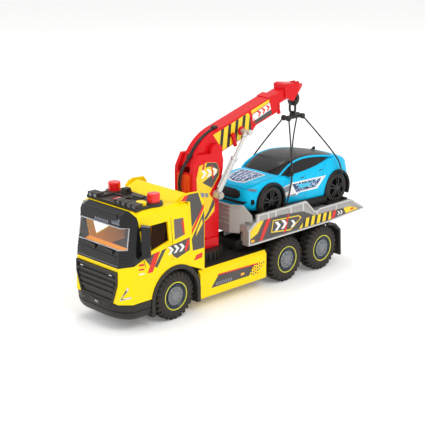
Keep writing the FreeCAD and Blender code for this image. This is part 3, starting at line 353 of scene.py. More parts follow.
def mirror_y(bm):
    """Add the mirror image of everything on the other side of the truck."""
    copy = bmesh.ops.duplicate(bm, geom=bm.verts[:] + bm.edges[:] + bm.faces[:])
    verts = [item for item in copy["geom"] if isinstance(item, bmesh.types.BMVert)]
    faces = [item for item in copy["geom"] if isinstance(item, bmesh.types.BMFace)]
    for vert in verts:
        vert.co.y = -vert.co.y
    bmesh.ops.reverse_faces(bm, faces=faces)


def pitch(bm):
    """Tip what was built level to the slope of the bed's floor."""
    pivot = Vector((SLOPE_PIVOT[0], 0, SLOPE_PIVOT[1]))
    turn = Matrix.Rotation(math.radians(-BED_SLOPE), 3, "Y")
    bmesh.ops.rotate(bm, verts=bm.verts, cent=pivot, matrix=turn)


def mirrored(half):
    """Close an outline of (u, v) with its mirror image across u = 0."""
    return half + [(-u, v) for u, v in reversed(half)]


# ---------------------------------------------------------------- printed graphics
LAYER = 0.06
DRAPE_GAP = 0.12
DRAPE_STEP = 3.0


def rect(u0, u1, v0, v1):
    """Outline of a rectangle."""
    return [(u0, v0), (u1, v0), (u1, v1), (u0, v1)]


def line_outline(path, width):
    """Outline of a thin printed line along a path of (u, v) points."""
    near = []
    far = []
    for i, point in enumerate(path):
        before = Vector(path[max(i - 1, 0)])
        after = Vector(path[min(i + 1, len(path) - 1)])
        way = (after - before).normalized() * width / 2
        near.append((point[0] - way.y, point[1] + way.x))
        far.append((point[0] + way.y, point[1] - way.x))
    return near + far[::-1]


def clipped(points, outline):
    """The part of a polygon inside a convex outline, both as (u, v)."""
    sides = list(zip(outline, outline[1:] + outline[:1]))
    turn = 1 if sum(a[0] * b[1] - b[0] * a[1] for a, b in sides) > 0 else -1
    for a, b in sides:
        def side(p):
            return turn * ((b[0] - a[0]) * (p[1] - a[1]) - (b[1] - a[1]) * (p[0] - a[0]))
        kept = []
        for p, q in zip(points, points[1:] + points[:1]):
            sp, sq = side(p), side(q)
            if sp >= 0:
                kept.append(p)
            if sp * sq < 0:
                share = sp / (sp - sq)
                kept.append((p[0] + share * (q[0] - p[0]), p[1] + share * (q[1] - p[1])))
        points = kept
        if not points:
            return []
    return points


def slanted_bars(outline, start, end, pitch_mm, width, lean, low, high):
    """Parallel leaning bars clipped to a convex outline."""
    made = []
    u = start
    while u < end:
        bar = clipped([(u, low), (u + width, low), (u + width + lean, high), (u + lean, high)], outline)
        if len(bar) > 2:
            made.append(bar)
        u += pitch_mm
    return made


def chevrons(u, v, size, count, gap, flip=1):
    """Row of arrow marks, the neutral stand-in for printed words and numbers."""
    made = []
    for i in range(count):
        x = u + flip * i * gap
        w = flip * size * 0.45
        made.append([(x, v), (x + w, v), (x + 2.1 * w, v + size / 2), (x + w, v + size), (x, v + size),
                     (x + 1.1 * w, v + size / 2)])
    return made


def graphic(name, body, shapes, place, both_sides=True):
    """Flat printed shapes, later ones on top. place turns (u, v, height) into a point."""
    bm = bmesh.new()
    kinds = list(dict.fromkeys(kind for kind, _ in shapes))
    for layer, (kind, outlines) in enumerate(shapes):
        for outline in outlines:
            add_face(bm, [place(u, v, LAYER * (layer + 1)) for u, v in outline], kinds.index(kind))
    if both_sides:
        mirror_y(bm)
    bmesh.ops.triangulate(bm, faces=bm.faces)
    piece(name, bm, [PRINT[kind] for kind in kinds], body)


def on_side(y):
    """Place for prints on an upright side: u along the truck, v up."""
    return lambda u, v, height: (u, y + height, v)


def across(x, way=1):
    """Place for prints on an upright face that looks forwards, or backwards with way -1."""
    return lambda u, v, height: (x + way * height, u, v)


def on_boom_side(s, t, height):
    """Point on the boom's side: s along the boom from its pin, t across it."""
    rise = math.radians(BOOM_RISE)
    x = BOOM_PIVOT[0] - s * math.cos(rise) + t * math.sin(rise)
    z = BOOM_PIVOT[1] + s * math.sin(rise) + t * math.cos(rise)
    return (x, BOOM_SIDE + height, z)


def diced(outline, step):
    """Flat mesh of an outline, cut into a grid so that it can bend."""
    part = bmesh.new()
    add_face(part, [(u, v, 0) for u, v in outline])
    for axis, normal in enumerate(((1, 0, 0), (0, 1, 0))):
        values = [p[axis] for p in outline]
        cut_at = min(values) + step
        while cut_at < max(values):
            bmesh.ops.bisect_plane(part, geom=part.verts[:] + part.edges[:] + part.faces[:],
                                   plane_co=Vector(normal) * cut_at, plane_no=normal)
            cut_at += step
    return part


def draped_graphic(name, shapes, start, way, surface):
    """Printed shapes laid onto the car's skin along a direction. start turns (u, v) into a ray's origin."""
    bm = bmesh.new()
    kinds = list(dict.fromkeys(kind for kind, _ in shapes))
    for layer, (kind, outlines) in enumerate(shapes):
        for outline in outlines:
            part = diced(outline, DRAPE_STEP)
            for face in part.faces:
                spots = []
                for vert in face.verts:
                    origin = Vector(start(vert.co.x, vert.co.y)) * MM
                    hit, normal, _, _ = surface.ray_cast(origin, Vector(way))
                    if hit is None:
                        break
                    if normal.dot(Vector(way)) > 0:
                        normal = -normal
                    spots.append((hit + normal * (DRAPE_GAP + LAYER * layer) * MM) / MM)
                if len(spots) == len(face.verts):
                    add_face(bm, spots, kinds.index(kind))
            part.free()
    piece(name, bm, [PRINT[kind] for kind in kinds], "car", crease=60)


# ---------------------------------------------------------------- wheels of the truck
TYRE_WIDTH = 25.0
LUG_COUNT = 26
BOLT_COUNT = 10
BOLT_CIRCLE = 10.9


def tyre_pair(axle, x):
    """Deep lugged tyres with a stepped side wall."""
    outer = HALF_WIDTH - 0.5
    middle = outer - TYRE_WIDTH / 2
    rim_radius = 20.4
    floor_radius = WHEEL_RADIUS - 2.6
    bm = bmesh.new()
    half = [(rim_radius, outer - 2), (rim_radius + 1, outer - 0.6), (24, outer), (29.5, outer - 0.1),
            (30, outer - 0.8), (33, outer - 1.6), (floor_radius, outer - 4.5), (floor_radius, middle)]
    profile = half + [(r, 2 * middle - y) for r, y in reversed(half[:-1])]
    add_turned(bm, profile + [profile[0]], (x, WHEEL_RADIUS), 72)
    for i in range(LUG_COUNT):
        for side, offset in ((1, 0), (-1, 0.5)):
            add_lug(bm, x, 2 * math.pi * (i + offset) / LUG_COUNT, middle, side)
    mirror_y(bm)
    piece("tyre_pair_" + axle, bm, [MAT["tyre"]], axle + "_wheels", stands_for=["tyres_" + axle],
          crease=30)


def add_lug(bm, x, angle, middle, side):
    """One tread block that starts at the middle line and wraps over the shoulder."""
    half_angle = 0.078
    lean = 0.06
    # reach to the side, radius, turn
    stations = [(0.6, WHEEL_RADIUS - 0.1, 0), (8, WHEEL_RADIUS, lean * 0.6),
                (10.6, WHEEL_RADIUS - 1.6, lean), (12.2, WHEEL_RADIUS - 5, lean),
                (12.3, WHEEL_RADIUS - 7.4, lean)]
    tops = []
    bottoms = []
    for reach, radius, turn in stations:
        foot = min(radius - 2.2, WHEEL_RADIUS - 3.5)
        for store, r, out, squeeze in ((tops, radius, reach, 0.8), (bottoms, foot, min(reach, 11.2), 1)):
            row = []
            for way in (-1, 1):
                a = angle + side * turn + way * half_angle * squeeze
                row.append(bm.verts.new(round_spot((x, WHEEL_RADIUS), r, a, middle + side * out)))
            store.append(row)
    for k in range(len(stations) - 1):
        bm.faces.new([tops[k][0], tops[k][1], tops[k + 1][1], tops[k + 1][0]])
        for way in (0, 1):
            bm.faces.new([tops[k][way], tops[k + 1][way], bottoms[k + 1][way], bottoms[k][way]])
    for k in (0, -1):
        bm.faces.new([tops[k][0], tops[k][1], bottoms[k][1], bottoms[k][0]])


def hub_pair(axle, x):
    """Dark dish, thin bright ring and a grey bolted hub."""
    face = HALF_WIDTH - 0.8
    bm = bmesh.new()
    # radius, reach past the face
    profile = [(0, -18), (20.3, -18), (20.3, -0.9), (20.9, 0.3), (22, 0.3), (22.3, -0.2), (20.2, -0.6),
               (19.6, -1.6), (17.6, -3.2), (15, -3.4), (14.6, -1.2), (13.8, -0.6), (8.2, -0.9), (7.8, 0),
               (6.4, 0.5), (0, 0.6)]
    navy, ring, grey = 0, 1, 2
    mats = [navy] * 2 + [ring] * 3 + [navy] * 5 + [grey] * 5
    add_turned(bm, [(r, face + out) for r, out in profile], (x, WHEEL_RADIUS), 56, mats)
    for i in range(BOLT_COUNT):
        spot_x, _, spot_z = round_spot((x, WHEEL_RADIUS), BOLT_CIRCLE, 2 * math.pi * i / BOLT_COUNT, 0)
        bolt = [(1.3, face - 1.2), (1.2, face + 0.2), (0.7, face + 0.5), (0, face + 0.5)]
        add_turned(bm, bolt, (spot_x, spot_z), 8, [grey] * 3)
    mirror_y(bm)
    piece("hub_pair_" + axle, bm, [MAT["navy"], MAT["ring"], MAT["hub"]], axle + "_wheels",
          stands_for=["rims_" + axle], crease=28)


def truck_wheels():
    """A tyre pair and a hub pair on each axle."""
    for axle, x in AXLES.items():
        tyre_pair(axle, x)
        hub_pair(axle, x)


# ---------------------------------------------------------------- the passenger car
# Draped prints are cast onto the car from these distances beside, above, before and behind it.
RAY_SIDE = 80
RAY_TOP = 230
RAY_NOSE = 60
RAY_TAIL = -320
SHUT_LINE = 0.55
CAR_STATIONS = [
    # x, bottom, sill half, middle half, middle z, shoulder half, shoulder z, top z
    (-4, 128, 22, 25, 141, 20, 151, 153.5),
    (-8, 123, 34, 37, 141, 33, 156, 159),
    (-18, 119, 41, 45, 142, 41, 162, 165),
    (-36, 117, 45, 49, 146, 45, 168, 170.5),
    (-62, 117, 46, 49.8, 148, 46, 170.5, 174.5),
    (-95, 117, 46, 48.8, 147, 46.5, 171.5, 177),
    (-135, 117, 46, 48.4, 147, 46, 174.5, 180),
    (-175, 117, 46.5, 49.2, 149, 45.5, 180, 184),
    (-205, 117, 47, 49.8, 151, 43.5, 186, 189),
    (-228, 118, 45.5, 48.5, 152, 40, 185.5, 187.5),
    (-244, 122, 40, 44, 152, 36, 180, 181.5),
    (-252, 128, 33, 37, 152, 31, 173, 174.5),
    (-255, 136, 25, 28, 152, 25, 166, 168),
]
CABIN_STATIONS = [
    # x, bottom half, top half, side top z, crown z
    (-64, 27, 20, 173, 174),
    (-74, 42, 30, 178, 180),
    (-90, 45.2, 36, 186, 188.5),
    (-108, 45.4, 37, 191.5, 194.6),
    (-130, 45.4, 37, 194.5, 198),
    (-160, 45.2, 36.5, 193.5, 197.4),
    (-190, 44, 35.5, 190, 194),
    (-215, 41.5, 33, 185.5, 189.5),
    (-234, 37, 29, 180.5, 184),
    (-245, 30, 22, 176, 178.5),
]


def loft(sections):
    """Skin across symmetric sections, each given as x and its left half, with both ends closed."""
    bm = bmesh.new()
    rings = []
    for x, half in sections:
        outline = half + [(-y, z) for y, z in reversed(half[1:-1])]
        rings.append([bm.verts.new((x, y, z)) for y, z in outline])
    for low, high in zip(rings, rings[1:]):
        join_rings(bm, low, high)
    for ring in (rings[0], rings[-1]):
        middle = bm.verts.new(sum((v.co for v in ring), Vector()) / len(ring))
        for i in range(len(ring)):
            bm.faces.new([ring[i], ring[(i + 1) % len(ring)], middle])
    return bm


def car_shell():
    """Blue body with rounded flanks and cut wheel arches."""
    sections = []
    for x, low, sill, wide, wide_z, top_half, shoulder, top in CAR_STATIONS:
        sections.append((x, [
            (0, low), (sill * 0.8, low), (sill, low + 3), (wide - 0.4, wide_z - 12), (wide, wide_z),
            (top_half + 1.6, shoulder - 7), (top_half, shoulder - 1.5), (top_half * 0.82, shoulder + 0.8),
            (top_half * 0.45, top - 0.3), (0, top)]))
    bm = loft(sections)
    pitch(bm)
    body = piece("car_shell", bm, [MAT["cyan"]], "car", stands_for=["car_body"], crease=60,
                 subdivide=2)
    cutter_bm = bmesh.new()
    for x in CAR_AXLES.values():
        for y0, y1 in ((29, 60), (-60, -29)):
            arch = [(0, y0), (ARCH_RADIUS, y0), (ARCH_RADIUS, y1), (0, y1)]
            add_turned(cutter_bm, arch, (x, CAR_WHEEL_Z), 48)
    pitch(cutter_bm)
    cutter = mesh_object("arch_cutter", cutter_bm)
    opening = body.modifiers.new("arches", "BOOLEAN")
    opening.operation = "DIFFERENCE"
    opening.object = cutter
    opening.solver = "EXACT"
    flat = final_mesh(body)
    body.modifiers.clear()
    body.data = flat
    flat.materials.clear()
    flat.materials.append(MAT["cyan"])
    flat.set_sharp_from_angle(angle=math.radians(50))
    bpy.data.objects.remove(cutter)
    return body


def car_greenhouse():
    """Black glass and roof in one smooth form."""
    sections = []
    for x, low_half, high_half, side_top, crown in CABIN_STATIONS:
        middle = (low_half + high_half) / 2
        sections.append((x, [
            (0, 166), (low_half - 1, 166), (low_half, 170), (middle + 0.6, (170 + side_top) / 2),
            (high_half, side_top), (high_half * 0.86, side_top + 0.62 * (crown - side_top)),
            (high_half * 0.45, crown - 0.3), (0, crown)]))
    bm = loft(sections)
    bm.normal_update()
    for face in bm.faces:
        centre = face.calc_center_median()
        level = abs(face.normal.z) > 0.8
        face.material_index = 1 if level and centre.z > 190 and -240 < centre.x < -108 else 0
    pitch(bm)
    return piece("car_greenhouse", bm, [MAT["car_glass"], MAT["car_roof"]], "car", stands_for=["car_cabin"],
                 crease=60, subdivide=2)


def car_roof_rails():
    """Blue band from the windscreen pillar over the side glass to the rear haunch."""
    path = [(-71, 41, 168.6), (-80, 41.8, 175.4), (-92, 40.4, 183), (-108, 38.8, 189.5),
            (-130, 38.2, 193.5), (-160, 37.8, 192.9), (-190, 37.4, 189.3), (-214, 36.6, 184.9),
            (-232, 35.1, 180.1), (-246, 30.1, 173.5)]
    bm = bmesh.new()
    add_ribbon(bm, path, 4.8, 3.4, up=(0, -0.75, 0.65))
    mirror_y(bm)
    pitch(bm)
    piece("car_roof_rails", bm, [MAT["cyan"]], "car", crease=60, subdivide=2)


def car_trim():
    """Black arches, sills, grille, fog lamp pods, mirrors and roof fin."""
    bm = bmesh.new()
    steps = 22
    for x in CAR_AXLES.values():
        angles = [math.radians(-24 + i * 228 / steps) for i in range(steps + 1)]
        line = [round_spot((x, CAR_WHEEL_Z), ARCH_RADIUS + 2, angle, 47.4) for angle in angles]
        add_ribbon(bm, line, 4.4, 6.4, up=(0, 1, 0))
    sill_front = CAR_AXLES["front"] - 27
    sill_rear = CAR_AXLES["rear"] + 27
    sill = [(46, 113.5), (50.2, 114.5), (50.4, 121), (48.4, 124.2), (46, 124.2)]
    add_prism(bm, sill, sill_rear, sill_front, "x")
    mirror_pod = [(-86, 47, 171.5), (-91, 50.5, 172.5), (-96, 52.2, 173.5)]
    add_ribbon(bm, mirror_pod, 5.2, 4.6, up=(0, 0, 1))
    pod = [(-13.4, 133), (-13.4, 141.5), (-18, 141.5), (-20.5, 134)]
    add_prism(bm, [(x + 0.6, z - 1) for x, z in pod], 34.5, 43.5, "y")
    mirror_y(bm)
    grille = mirrored([(12, 138.6), (21, 141), (24.5, 146), (22, 152), (12, 154.4)])
    add_prism(bm, grille, -7.6, -2.8, "x")
    add_prism(bm, rect(-34, 34, 119, 122.5), -14, -5, "x")
    tail = mirrored([(34, 121.5), (36, 131), (29, 135)])
    add_prism(bm, tail, -254.2, -246, "x")
    fin = [(-196, 192.8), (-203, 197.6), (-206, 197.2), (-207.5, 191.6)]
    add_prism(bm, fin, -1.2, 1.2, "y")
    pitch(bm)
    piece("car_trim", bm, [MAT["trim"]], "car", crease=40, edge=0.9)


def car_lamps():
    """Smoked headlamps set into the front corners."""
    bm = bmesh.new()
    lamp = [(-19.5, 45.6, 156.5), (-15.5, 40.5, 157.5), (-11.5, 33.5, 157), (-13, 33, 154.2),
            (-17.2, 40, 153.8), (-21, 45.4, 154.6)]
    top = [bm.verts.new(Vector(p) + Vector((2.2, 1.6, 0.4))) for p in lamp]
    base = [bm.verts.new(Vector(p) + Vector((-3, -3, 0))) for p in lamp]
    bm.faces.new(top)
    join_rings(bm, top, base)
    mirror_y(bm)
    pitch(bm)
    piece("car_lamps", bm, [PRINT["smoke"]], "car", crease=30)


def car_wheel_pair(axle, x):
    """Low profile tyre with five twin spokes standing in a dark dish."""
    face = CAR_WHEEL_FACE
    bm = bmesh.new()
    # The last three bands, the rim's edge, wall and floor, are glossy and the rest is rubber.
    profile = [(0, 32.5), (22, 32.5), (24.6, 33.6), (25, 35), (25, face - 2.6),
               (24.4, face - 0.9), (22.4, face - 0.1), (18.8, face - 0.3), (18.2, face - 1),
               (17.4, face - 1.2), (17, face - 4.5), (0, face - 4.5)]
    add_turned(bm, profile, (x, CAR_WHEEL_Z), 56, [0] * 8 + [1] * 3)
    spoke_count = 5
    for i in range(spoke_count):
        angle = math.radians(90) + 2 * math.pi * i / spoke_count
        for way in (-1, 1):
            root = angle + way * 0.30
            tip = angle + way * 0.17
            stops = ((3, root, face - 1.6), (9, (root + tip) / 2, face - 1), (17.4, tip, face - 1.3))
            line = [round_spot((x, CAR_WHEEL_Z), radius, a, y) for radius, a, y in stops]
            add_ribbon(bm, line, 2.3, 2.6, up=(0, 1, 0), mat=1)
    cap = [(4.6, face - 4), (4.4, face - 0.9), (3, face - 0.2), (0, face - 0.2)]
    add_turned(bm, cap, (x, CAR_WHEEL_Z), 20, [1] * 3)
    mirror_y(bm)
    add_turned(bm, [(1.5, -32), (1.5, 32)], (x, CAR_WHEEL_Z), 12, [1])
    pitch(bm)
    piece("car_wheel_pair_" + axle, bm, [MAT["tyre"], MAT["gloss_black"]], "car_" + axle + "_wheels",
          stands_for=["car_wheels_" + axle], crease=30)


def car_surface(*objects):
    """Search tree over finished pieces of the car, in scene coordinates."""
    verts = []
    faces = []
    depsgraph = bpy.context.evaluated_depsgraph_get()
    for item in objects:
        mesh = item.evaluated_get(depsgraph).to_mesh()
        start = len(verts)
        verts += [item.matrix_world @ v.co for v in mesh.vertices]
        faces += [[start + i for i in face.vertices] for face in mesh.polygons]
    return BVHTree.FromPolygons(verts, faces)


def drape_sides(name, shapes, surface):
    """Drape printed shapes, given as (x, z), onto both flanks of the car."""
    for side, word in ((1, "left"), (-1, "right")):
        draped_graphic(name + "_" + word, shapes, lambda u, v, s=side: (u, RAY_SIDE * s, v), (0, -side, 0),
                       surface)


def drape_top(name, shapes, surface):
    """Drape printed shapes, given as (x, y), onto the car from above."""
    draped_graphic(name, shapes, lambda u, v: (u, v, RAY_TOP), (0, 0, -1), surface)


def car_graphics(surface):
    """Printed panels on the doors and the bonnet, and the dark intake in the nose."""
    door = [(-75, 155.5), (-88, 138), (-114, 136.5), (-118, 140), (-163, 139), (-184.5, 157.5), (-178, 157.5),
            (-100, 160)]
    inner = [(-101, 157.5), (-112, 142), (-160, 142.5), (-174, 155.5)]
    block = [(-76.5, 155.6), (-84, 146.5), (-97, 148.5), (-99, 157.2)]
    stripe = [(-87, 140.5), (-89.5, 138), (-113, 136.8), (-110, 140.2)]
    flash = [(-112, 155), (-122, 147), (-150, 147.5), (-142, 151), (-156, 152.5), (-128, 153.5)]
    drape_sides("car_door_graphic", [("white", [door]), ("shards", [inner]), ("sky", [flash]),
                                     ("smoke", [block, stripe])], surface)

    def both(half):
        return half + [(u, -v) for u, v in reversed(half)]
    hood = both([(-17, 7), (-20, 19), (-34, 25), (-61, 27.5)])
    panel = both([(-19, 6), (-22, 17), (-35, 22.6), (-59, 25)])
    bars = []
    for y in (-10.5, -3.5, 3.5, 10.5):
        bars.append([(-21, y - 1.5), (-21, y + 1.5), (-57, y * 1.25 + 1.9), (-57, y * 1.25 - 1.9)])
    drape_top("car_hood_graphic", [("white", [hood]), ("shards", [panel]), ("pale_shards", bars)], surface)
    intake = [(-36, 143), (36, 143), (31, 138.4), (-31, 138.4)]
    draped_graphic("car_nose_intake", [("black", [intake])], lambda u, v: (RAY_NOSE, u, v), (-1, 0, 0),
                   surface)


def car_shut_lines(surface):
    """Thin dark lines round the doors and the bonnet, the door handles and the tail lamps."""
    front_door = [(-84.5, 168), (-82, 150), (-86, 132), (-96, 122.5)]
    middle = [(-133, 170), (-134.5, 150), (-133, 123)]
    rear_door = [(-183, 176), (-176, 160), (-180.5, 150)]
    handles = [[(-122, 164.5), (-130, 165), (-130, 163.4), (-122, 162.9)],
               [(-168, 169), (-176, 169.5), (-176, 167.9), (-168, 167.4)]]
    lines = [line_outline(path, SHUT_LINE) for path in (front_door, middle, rear_door)]
    drape_sides("car_side_lines", [("navy", lines), ("black", handles)], surface)
    bonnet = []
    for side in (1, -1):
        edge = [(-12, side * 31), (-24, side * 38), (-50, side * 41), (-66, side * 39.5)]
        bonnet.append(line_outline(edge, SHUT_LINE))
    bonnet.append(line_outline([(-11.5, -30), (-9.8, 0), (-11.5, 30)], 0.5))
    drape_top("car_top_lines", [("navy", bonnet)], surface)
    lamps = []
    for side in (1, -1):
        y = side * 12
        lamps.append([(y, 175), (y + side * 16, 172.6), (y + side * 16, 169.6), (y, 171.6)])
    draped_graphic("car_tail_lamps", [("red", lamps)], lambda u, v: (RAY_TAIL, u, v), (1, 0, 0), surface)


def car():
    """The passenger car on the bed."""
    shell = car_shell()
    glass = car_greenhouse()
    car_roof_rails()
    car_trim()
    car_lamps()
    for axle, x in CAR_AXLES.items():
        car_wheel_pair(axle, x)
    bpy.context.view_layer.update()
    surface = car_surface(shell, glass)
    car_graphics(surface)
    car_shut_lines(surface)


# ---------------------------------------------------------------- printed sides of the truck
def cab_graphics():
    """Prints on the side fairings and the doors."""
    fairing = [
        ("carbon", [[(141.5, 190.8), (122, 190), (116.3, 175), (112, 166), (135.2, 138), (138.4, 179),
                     (147.6, 181.9)],
                    [(109.8, 160), (109.8, 101.5), (133, 101.5), (135.4, 120)]]),
        ("yellow", [[(114, 148), (112.8, 140), (127, 122.5), (124, 133)]]),
        ("red", [[(157, 183), (149.5, 190), (141.5, 190.8), (147, 182)],
                 [(110.2, 171), (110.2, 163), (135.3, 127), (135.3, 135)],
                 [(113, 95), (114.3, 87), (131.3, 85.4), (126, 93.3)]]),
    ]
    graphic("fairing_graphic", "chassis", fairing, on_side(HALF_WIDTH))
    window = [(171, 158.7), (152, 157.5), (149, 131), (169.4, 127.1)]
    plate = [(185.5, 118.6), (139.3, 124.4), (139.3, 104.5), (165, 97.2), (178, 106.5)]
    door = [
        ("hatch", [window]),
        ("carbon", [[(228, 111), (209.3, 115.3), (217, 97)],
                    [(194.5, 116.5), (185.8, 118), (204, 92), (209.5, 95)], plate]),
        ("red", [[(209.3, 115.4), (198.2, 116.3), (213.1, 87.2), (223, 87.9)],
                 [(152, 157.5), (149, 131), (151.5, 132), (156, 150)],
                 [(144, 124), (139.3, 118), (146, 104), (150, 106)],
                 [(239, 105), (229, 104), (229, 101), (239, 102)],
                 [(239, 98), (229, 97), (229, 94.5), (239, 95.5)]]),
        ("yellow", [[(186, 119), (183, 119.3), (169, 97.4), (173, 98.4)]]),
        ("white", chevrons(183, 106.5, 12, 3, 11, -1) + [[(239, 91), (229, 90), (229, 88), (239, 89)]]),
    ]
    graphic("door_graphic", "chassis", door, on_side(HALF_WIDTH))


def skirt_graphics():
    """Prints on the tank panels: a dark strip that breaks up into dots at its rear end."""
    strip = [(95, 32.4), (80, 49.8), (2, 47.2), (12, 32.2)]
    spots = {"carbon": [], "red": []}
    gap = 4.6
    size = 2.6
    for j in range(4):
        for i in range(4 + j):
            u = 8 - i * gap
            v = 32.5 + j * gap - (i % 2) * 1.6
            spots["red" if (i + j) % 4 == 3 else "carbon"].append(rect(u, u - size, v, v + size))
    shapes = [
        ("carbon", [strip] + spots["carbon"]),
        ("red", [[(80, 49.8), (81.5, 52), (-10, 49), (-6, 46.9)]] + spots["red"]),
        ("orange", [rect(30.8, 22.9, 36.8, 40.8)]),
        ("smoke", chevrons(86, 34, 5.4, 7, 5.2, -1)),
    ]
    graphic("skirt_graphic", "chassis", shapes, on_side(HALF_WIDTH))


def bed_graphics():
    """Prints on the bed's sides, the rims and posts round them and ribs on the front wall, these in a lighter
    silver than the bed's own as a painted highlight.
    """
    panel = [(9.5, 84.5), (9.5, 104), (-4, 116.5), (-60, 117.5), (-113, 112.5), (-140, 100.5), (-233, 97),
             (-257, 88.8), (-174, 84), (0, 84)]
    hazard = [(-120, 99), (-141, 99.8), (-184, 98), (-184, 84.3), (-104, 84.2)]
    tail = [(-216, 97.2), (-233, 96.8), (-256, 88.8), (-222, 86.8)]
    shapes = [
        ("carbon", [panel]),
        ("yellow", [[(9.4, 91), (9.4, 104), (-4, 116.4), (-21, 116.8), (-7, 98)], hazard, tail,
                    [(-42, 112), (-103, 108), (-110, 103), (-84, 86.5), (-38, 92)]]),
        ("carbon", [[(-43.5, 110.3), (-102, 106.5), (-107, 102.5), (-83, 88.5), (-40, 93.5)]]),
        ("red", [[(-28, 116.9), (-37.5, 116.9), (-18, 84.2), (-11.2, 84.2)],
                 [(-76, 114), (-80, 114), (-72, 86), (-68, 86)],
                 [(-189, 97.8), (-197, 97.6), (-193, 84.9), (-185, 84.5)],
                 [(-236, 93.5), (-243, 93), (-240, 90), (-233, 90)]]),
        ("black", slanted_bars(hazard, -176, -112, 14.5, 6.5, -4, 83, 101)),
        ("white", chevrons(-46, 93, 15, 2, 15, -1) + chevrons(-84, 91, 12, 1, 13, -1)
         + chevrons(-200, 87.5, 7, 2, 7, -1)),
        ("orange", [rect(8, 0, 85.6, 89.4)]),
    ]
    graphic("bed_side_graphic", "bed", shapes, on_side(HALF_WIDTH - 0.8))
    # Rims, posts and foot strip: the bed's own plastic, drawn in the lighter silver as a painted highlight on
    # its edges.
    bm = bmesh.new()
    posts = ((-8, 116, 127), (-30, 117, 127), (-47, 117, 127), (-83, 115.3, 127), (-112, 113, 127),
             (-147, 99.8, 107), (-195, 98.5, 108))
    for x, low, high in posts:
        add_box(bm, x - 1.4, x + 1.4, HALF_WIDTH - 1, HALF_WIDTH + 0.5, low, high)
    rim = [(14, 104.8), (-1.6, 115.8), (-5, 117.4), (-5, 127.4), (-120, 127.4), (-140.6, 106.4),
           (-151, 106.4), (-153.8, 108.5), (-234, 108.5), (-268, 88.6)]
    add_ribbon(bm, [(x, HALF_WIDTH - 0.6, z) for x, z in rim], 2.2, 2.4, up=(0, 1, 0))
    foot = [(-267, 87.2), (-173, 81.8), (0, 81.8), (12.5, 82.6), (12.5, 104)]
    add_ribbon(bm, [(x, HALF_WIDTH - 0.4, z) for x, z in foot], 2, 1.8, up=(0, 1, 0))
    mirror_y(bm)
    piece("bed_rim_posts_highlit", bm, [MAT["rail"]], "bed", edge=0.4)
    # Headboard ribs in the lighter silver, a painted highlight on the lit front wall.
    ribs = bmesh.new()
    for z in (112, 120, 128, 136):
        add_box(ribs, 21.6, 22.5, -27.5, 27.5, z, z + 1.6)
    piece("headboard_ribs_highlit", ribs, [MAT["rail"]], "bed", edge=0.3)


def crane_graphics():
    """Prints on both sides of the crane tower and of the outer boom."""
    outline = [(78.6, 214), (62, 217.5), (42, 214), (36, 203), (37, 191), (51, 174.5), (57, 166), (50, 158),
               (45.5, 150), (46.5, 137), (60, 127), (86, 117), (83.5, 178), (84.5, 195)]
    carbon = [(62, 217), (42, 213.6), (36.5, 203), (37.5, 193), (52, 175), (74, 188), (72, 196)]
    shapes = [
        ("yellow", [outline]),
        ("carbon", [carbon, [(49.5, 156.5), (46, 151), (47, 146), (62, 128.5), (74, 122.5), (60, 138)]]),
        ("yellow", [[(76, 209), (76, 189), (72, 187), (56, 194), (41, 197), (40, 203), (56, 210)]]),
        ("white", chevrons(75, 194, 12.5, 3, 11.5, -1)),
        ("red", [[(70.5, 215.6), (66.5, 216.5), (69, 207), (73, 207)],
                 [(54, 211), (51.5, 211.6), (47.5, 190), (50.5, 189)],
                 [(84.5, 150), (80, 141), (69, 124), (74, 122)]]),
        ("smoke", [[(76, 172), (68, 170), (68, 163), (76, 165)],
                   [(66, 169.5), (60, 168), (60, 161.5), (66, 163)]]),
        ("carbon", [[(84, 140), (77, 122), (85.4, 118.6)]]),
    ]
    graphic("column_graphic", "crane", shapes, on_side(COLUMN_SIDE))
    yellow = [(6, 24.4), (86, 25.4), (89, 18), (84.5, -6), (70, -7.8), (18, -8)]
    top_bar = [(93, 25.8), (137, 26.3), (137, 21.4), (93, 20)]
    red_bars = slanted_bars(rect(86, 100, 0, 14), 86, 96, 3.6, 1.6, 1.5, 1, 12)
    shapes = [
        ("yellow", [yellow, top_bar]),
        ("black", slanted_bars(yellow, 10, 84, 16.6, 6.8, 14, -8, 25)),
        ("smoke", [[(100, 19), (136, 20.5), (136, 8), (98, 7)]]),
        ("carbon", [[(137.5, 26.3), (146, 26.4), (146, 1), (97, 0.8), (92, 5.5), (98, 6.8), (137.5, 8)]]),
        ("white", [[(94, 18.5), (139, 20.8), (139, 9), (100, 7.4), (92, 8)]]),
        ("red", chevrons(104, 9.4, 9.6, 3, 10.5) + red_bars),
    ]
    graphic("boom_graphic", "boom", shapes, on_boom_side)


# ---------------------------------------------------------------- cab front, roof and tail
GRILLE_FACE = 268.0
PLATE_FACE = 268.9
ROOF_UNIT_TOP = 185.2
TAIL_BAR_FACE = -212
FRONT_STATIONS = [
    # z, reach of the front face, width of the cut corner
    (46, 267, 15),
    (101, 265, 16),
    (175, 256.5, 18.5),
]


def front_spot(y, z, out=0):
    """Point on the cab's leaning front or its cut corners, moved outwards."""
    for low, high in zip(FRONT_STATIONS, FRONT_STATIONS[1:]):
        if z <= high[0]:
            break
    share = (z - low[0]) / (high[0] - low[0])
    x = low[1] + share * (high[1] - low[1])
    corner = low[2] + share * (high[2] - low[2])
    over = abs(y) - (HALF_WIDTH - corner)
    if over <= 0:
        return (x + out, y, z)
    lean = out * math.sqrt(0.5)
    return (x - over + lean, y + math.copysign(lean, y), z)


def on_front(u, v, height):
    """Point on the cab's front for printed shapes: u across the truck, v up."""
    return front_spot(u, v, 0.05 + height)


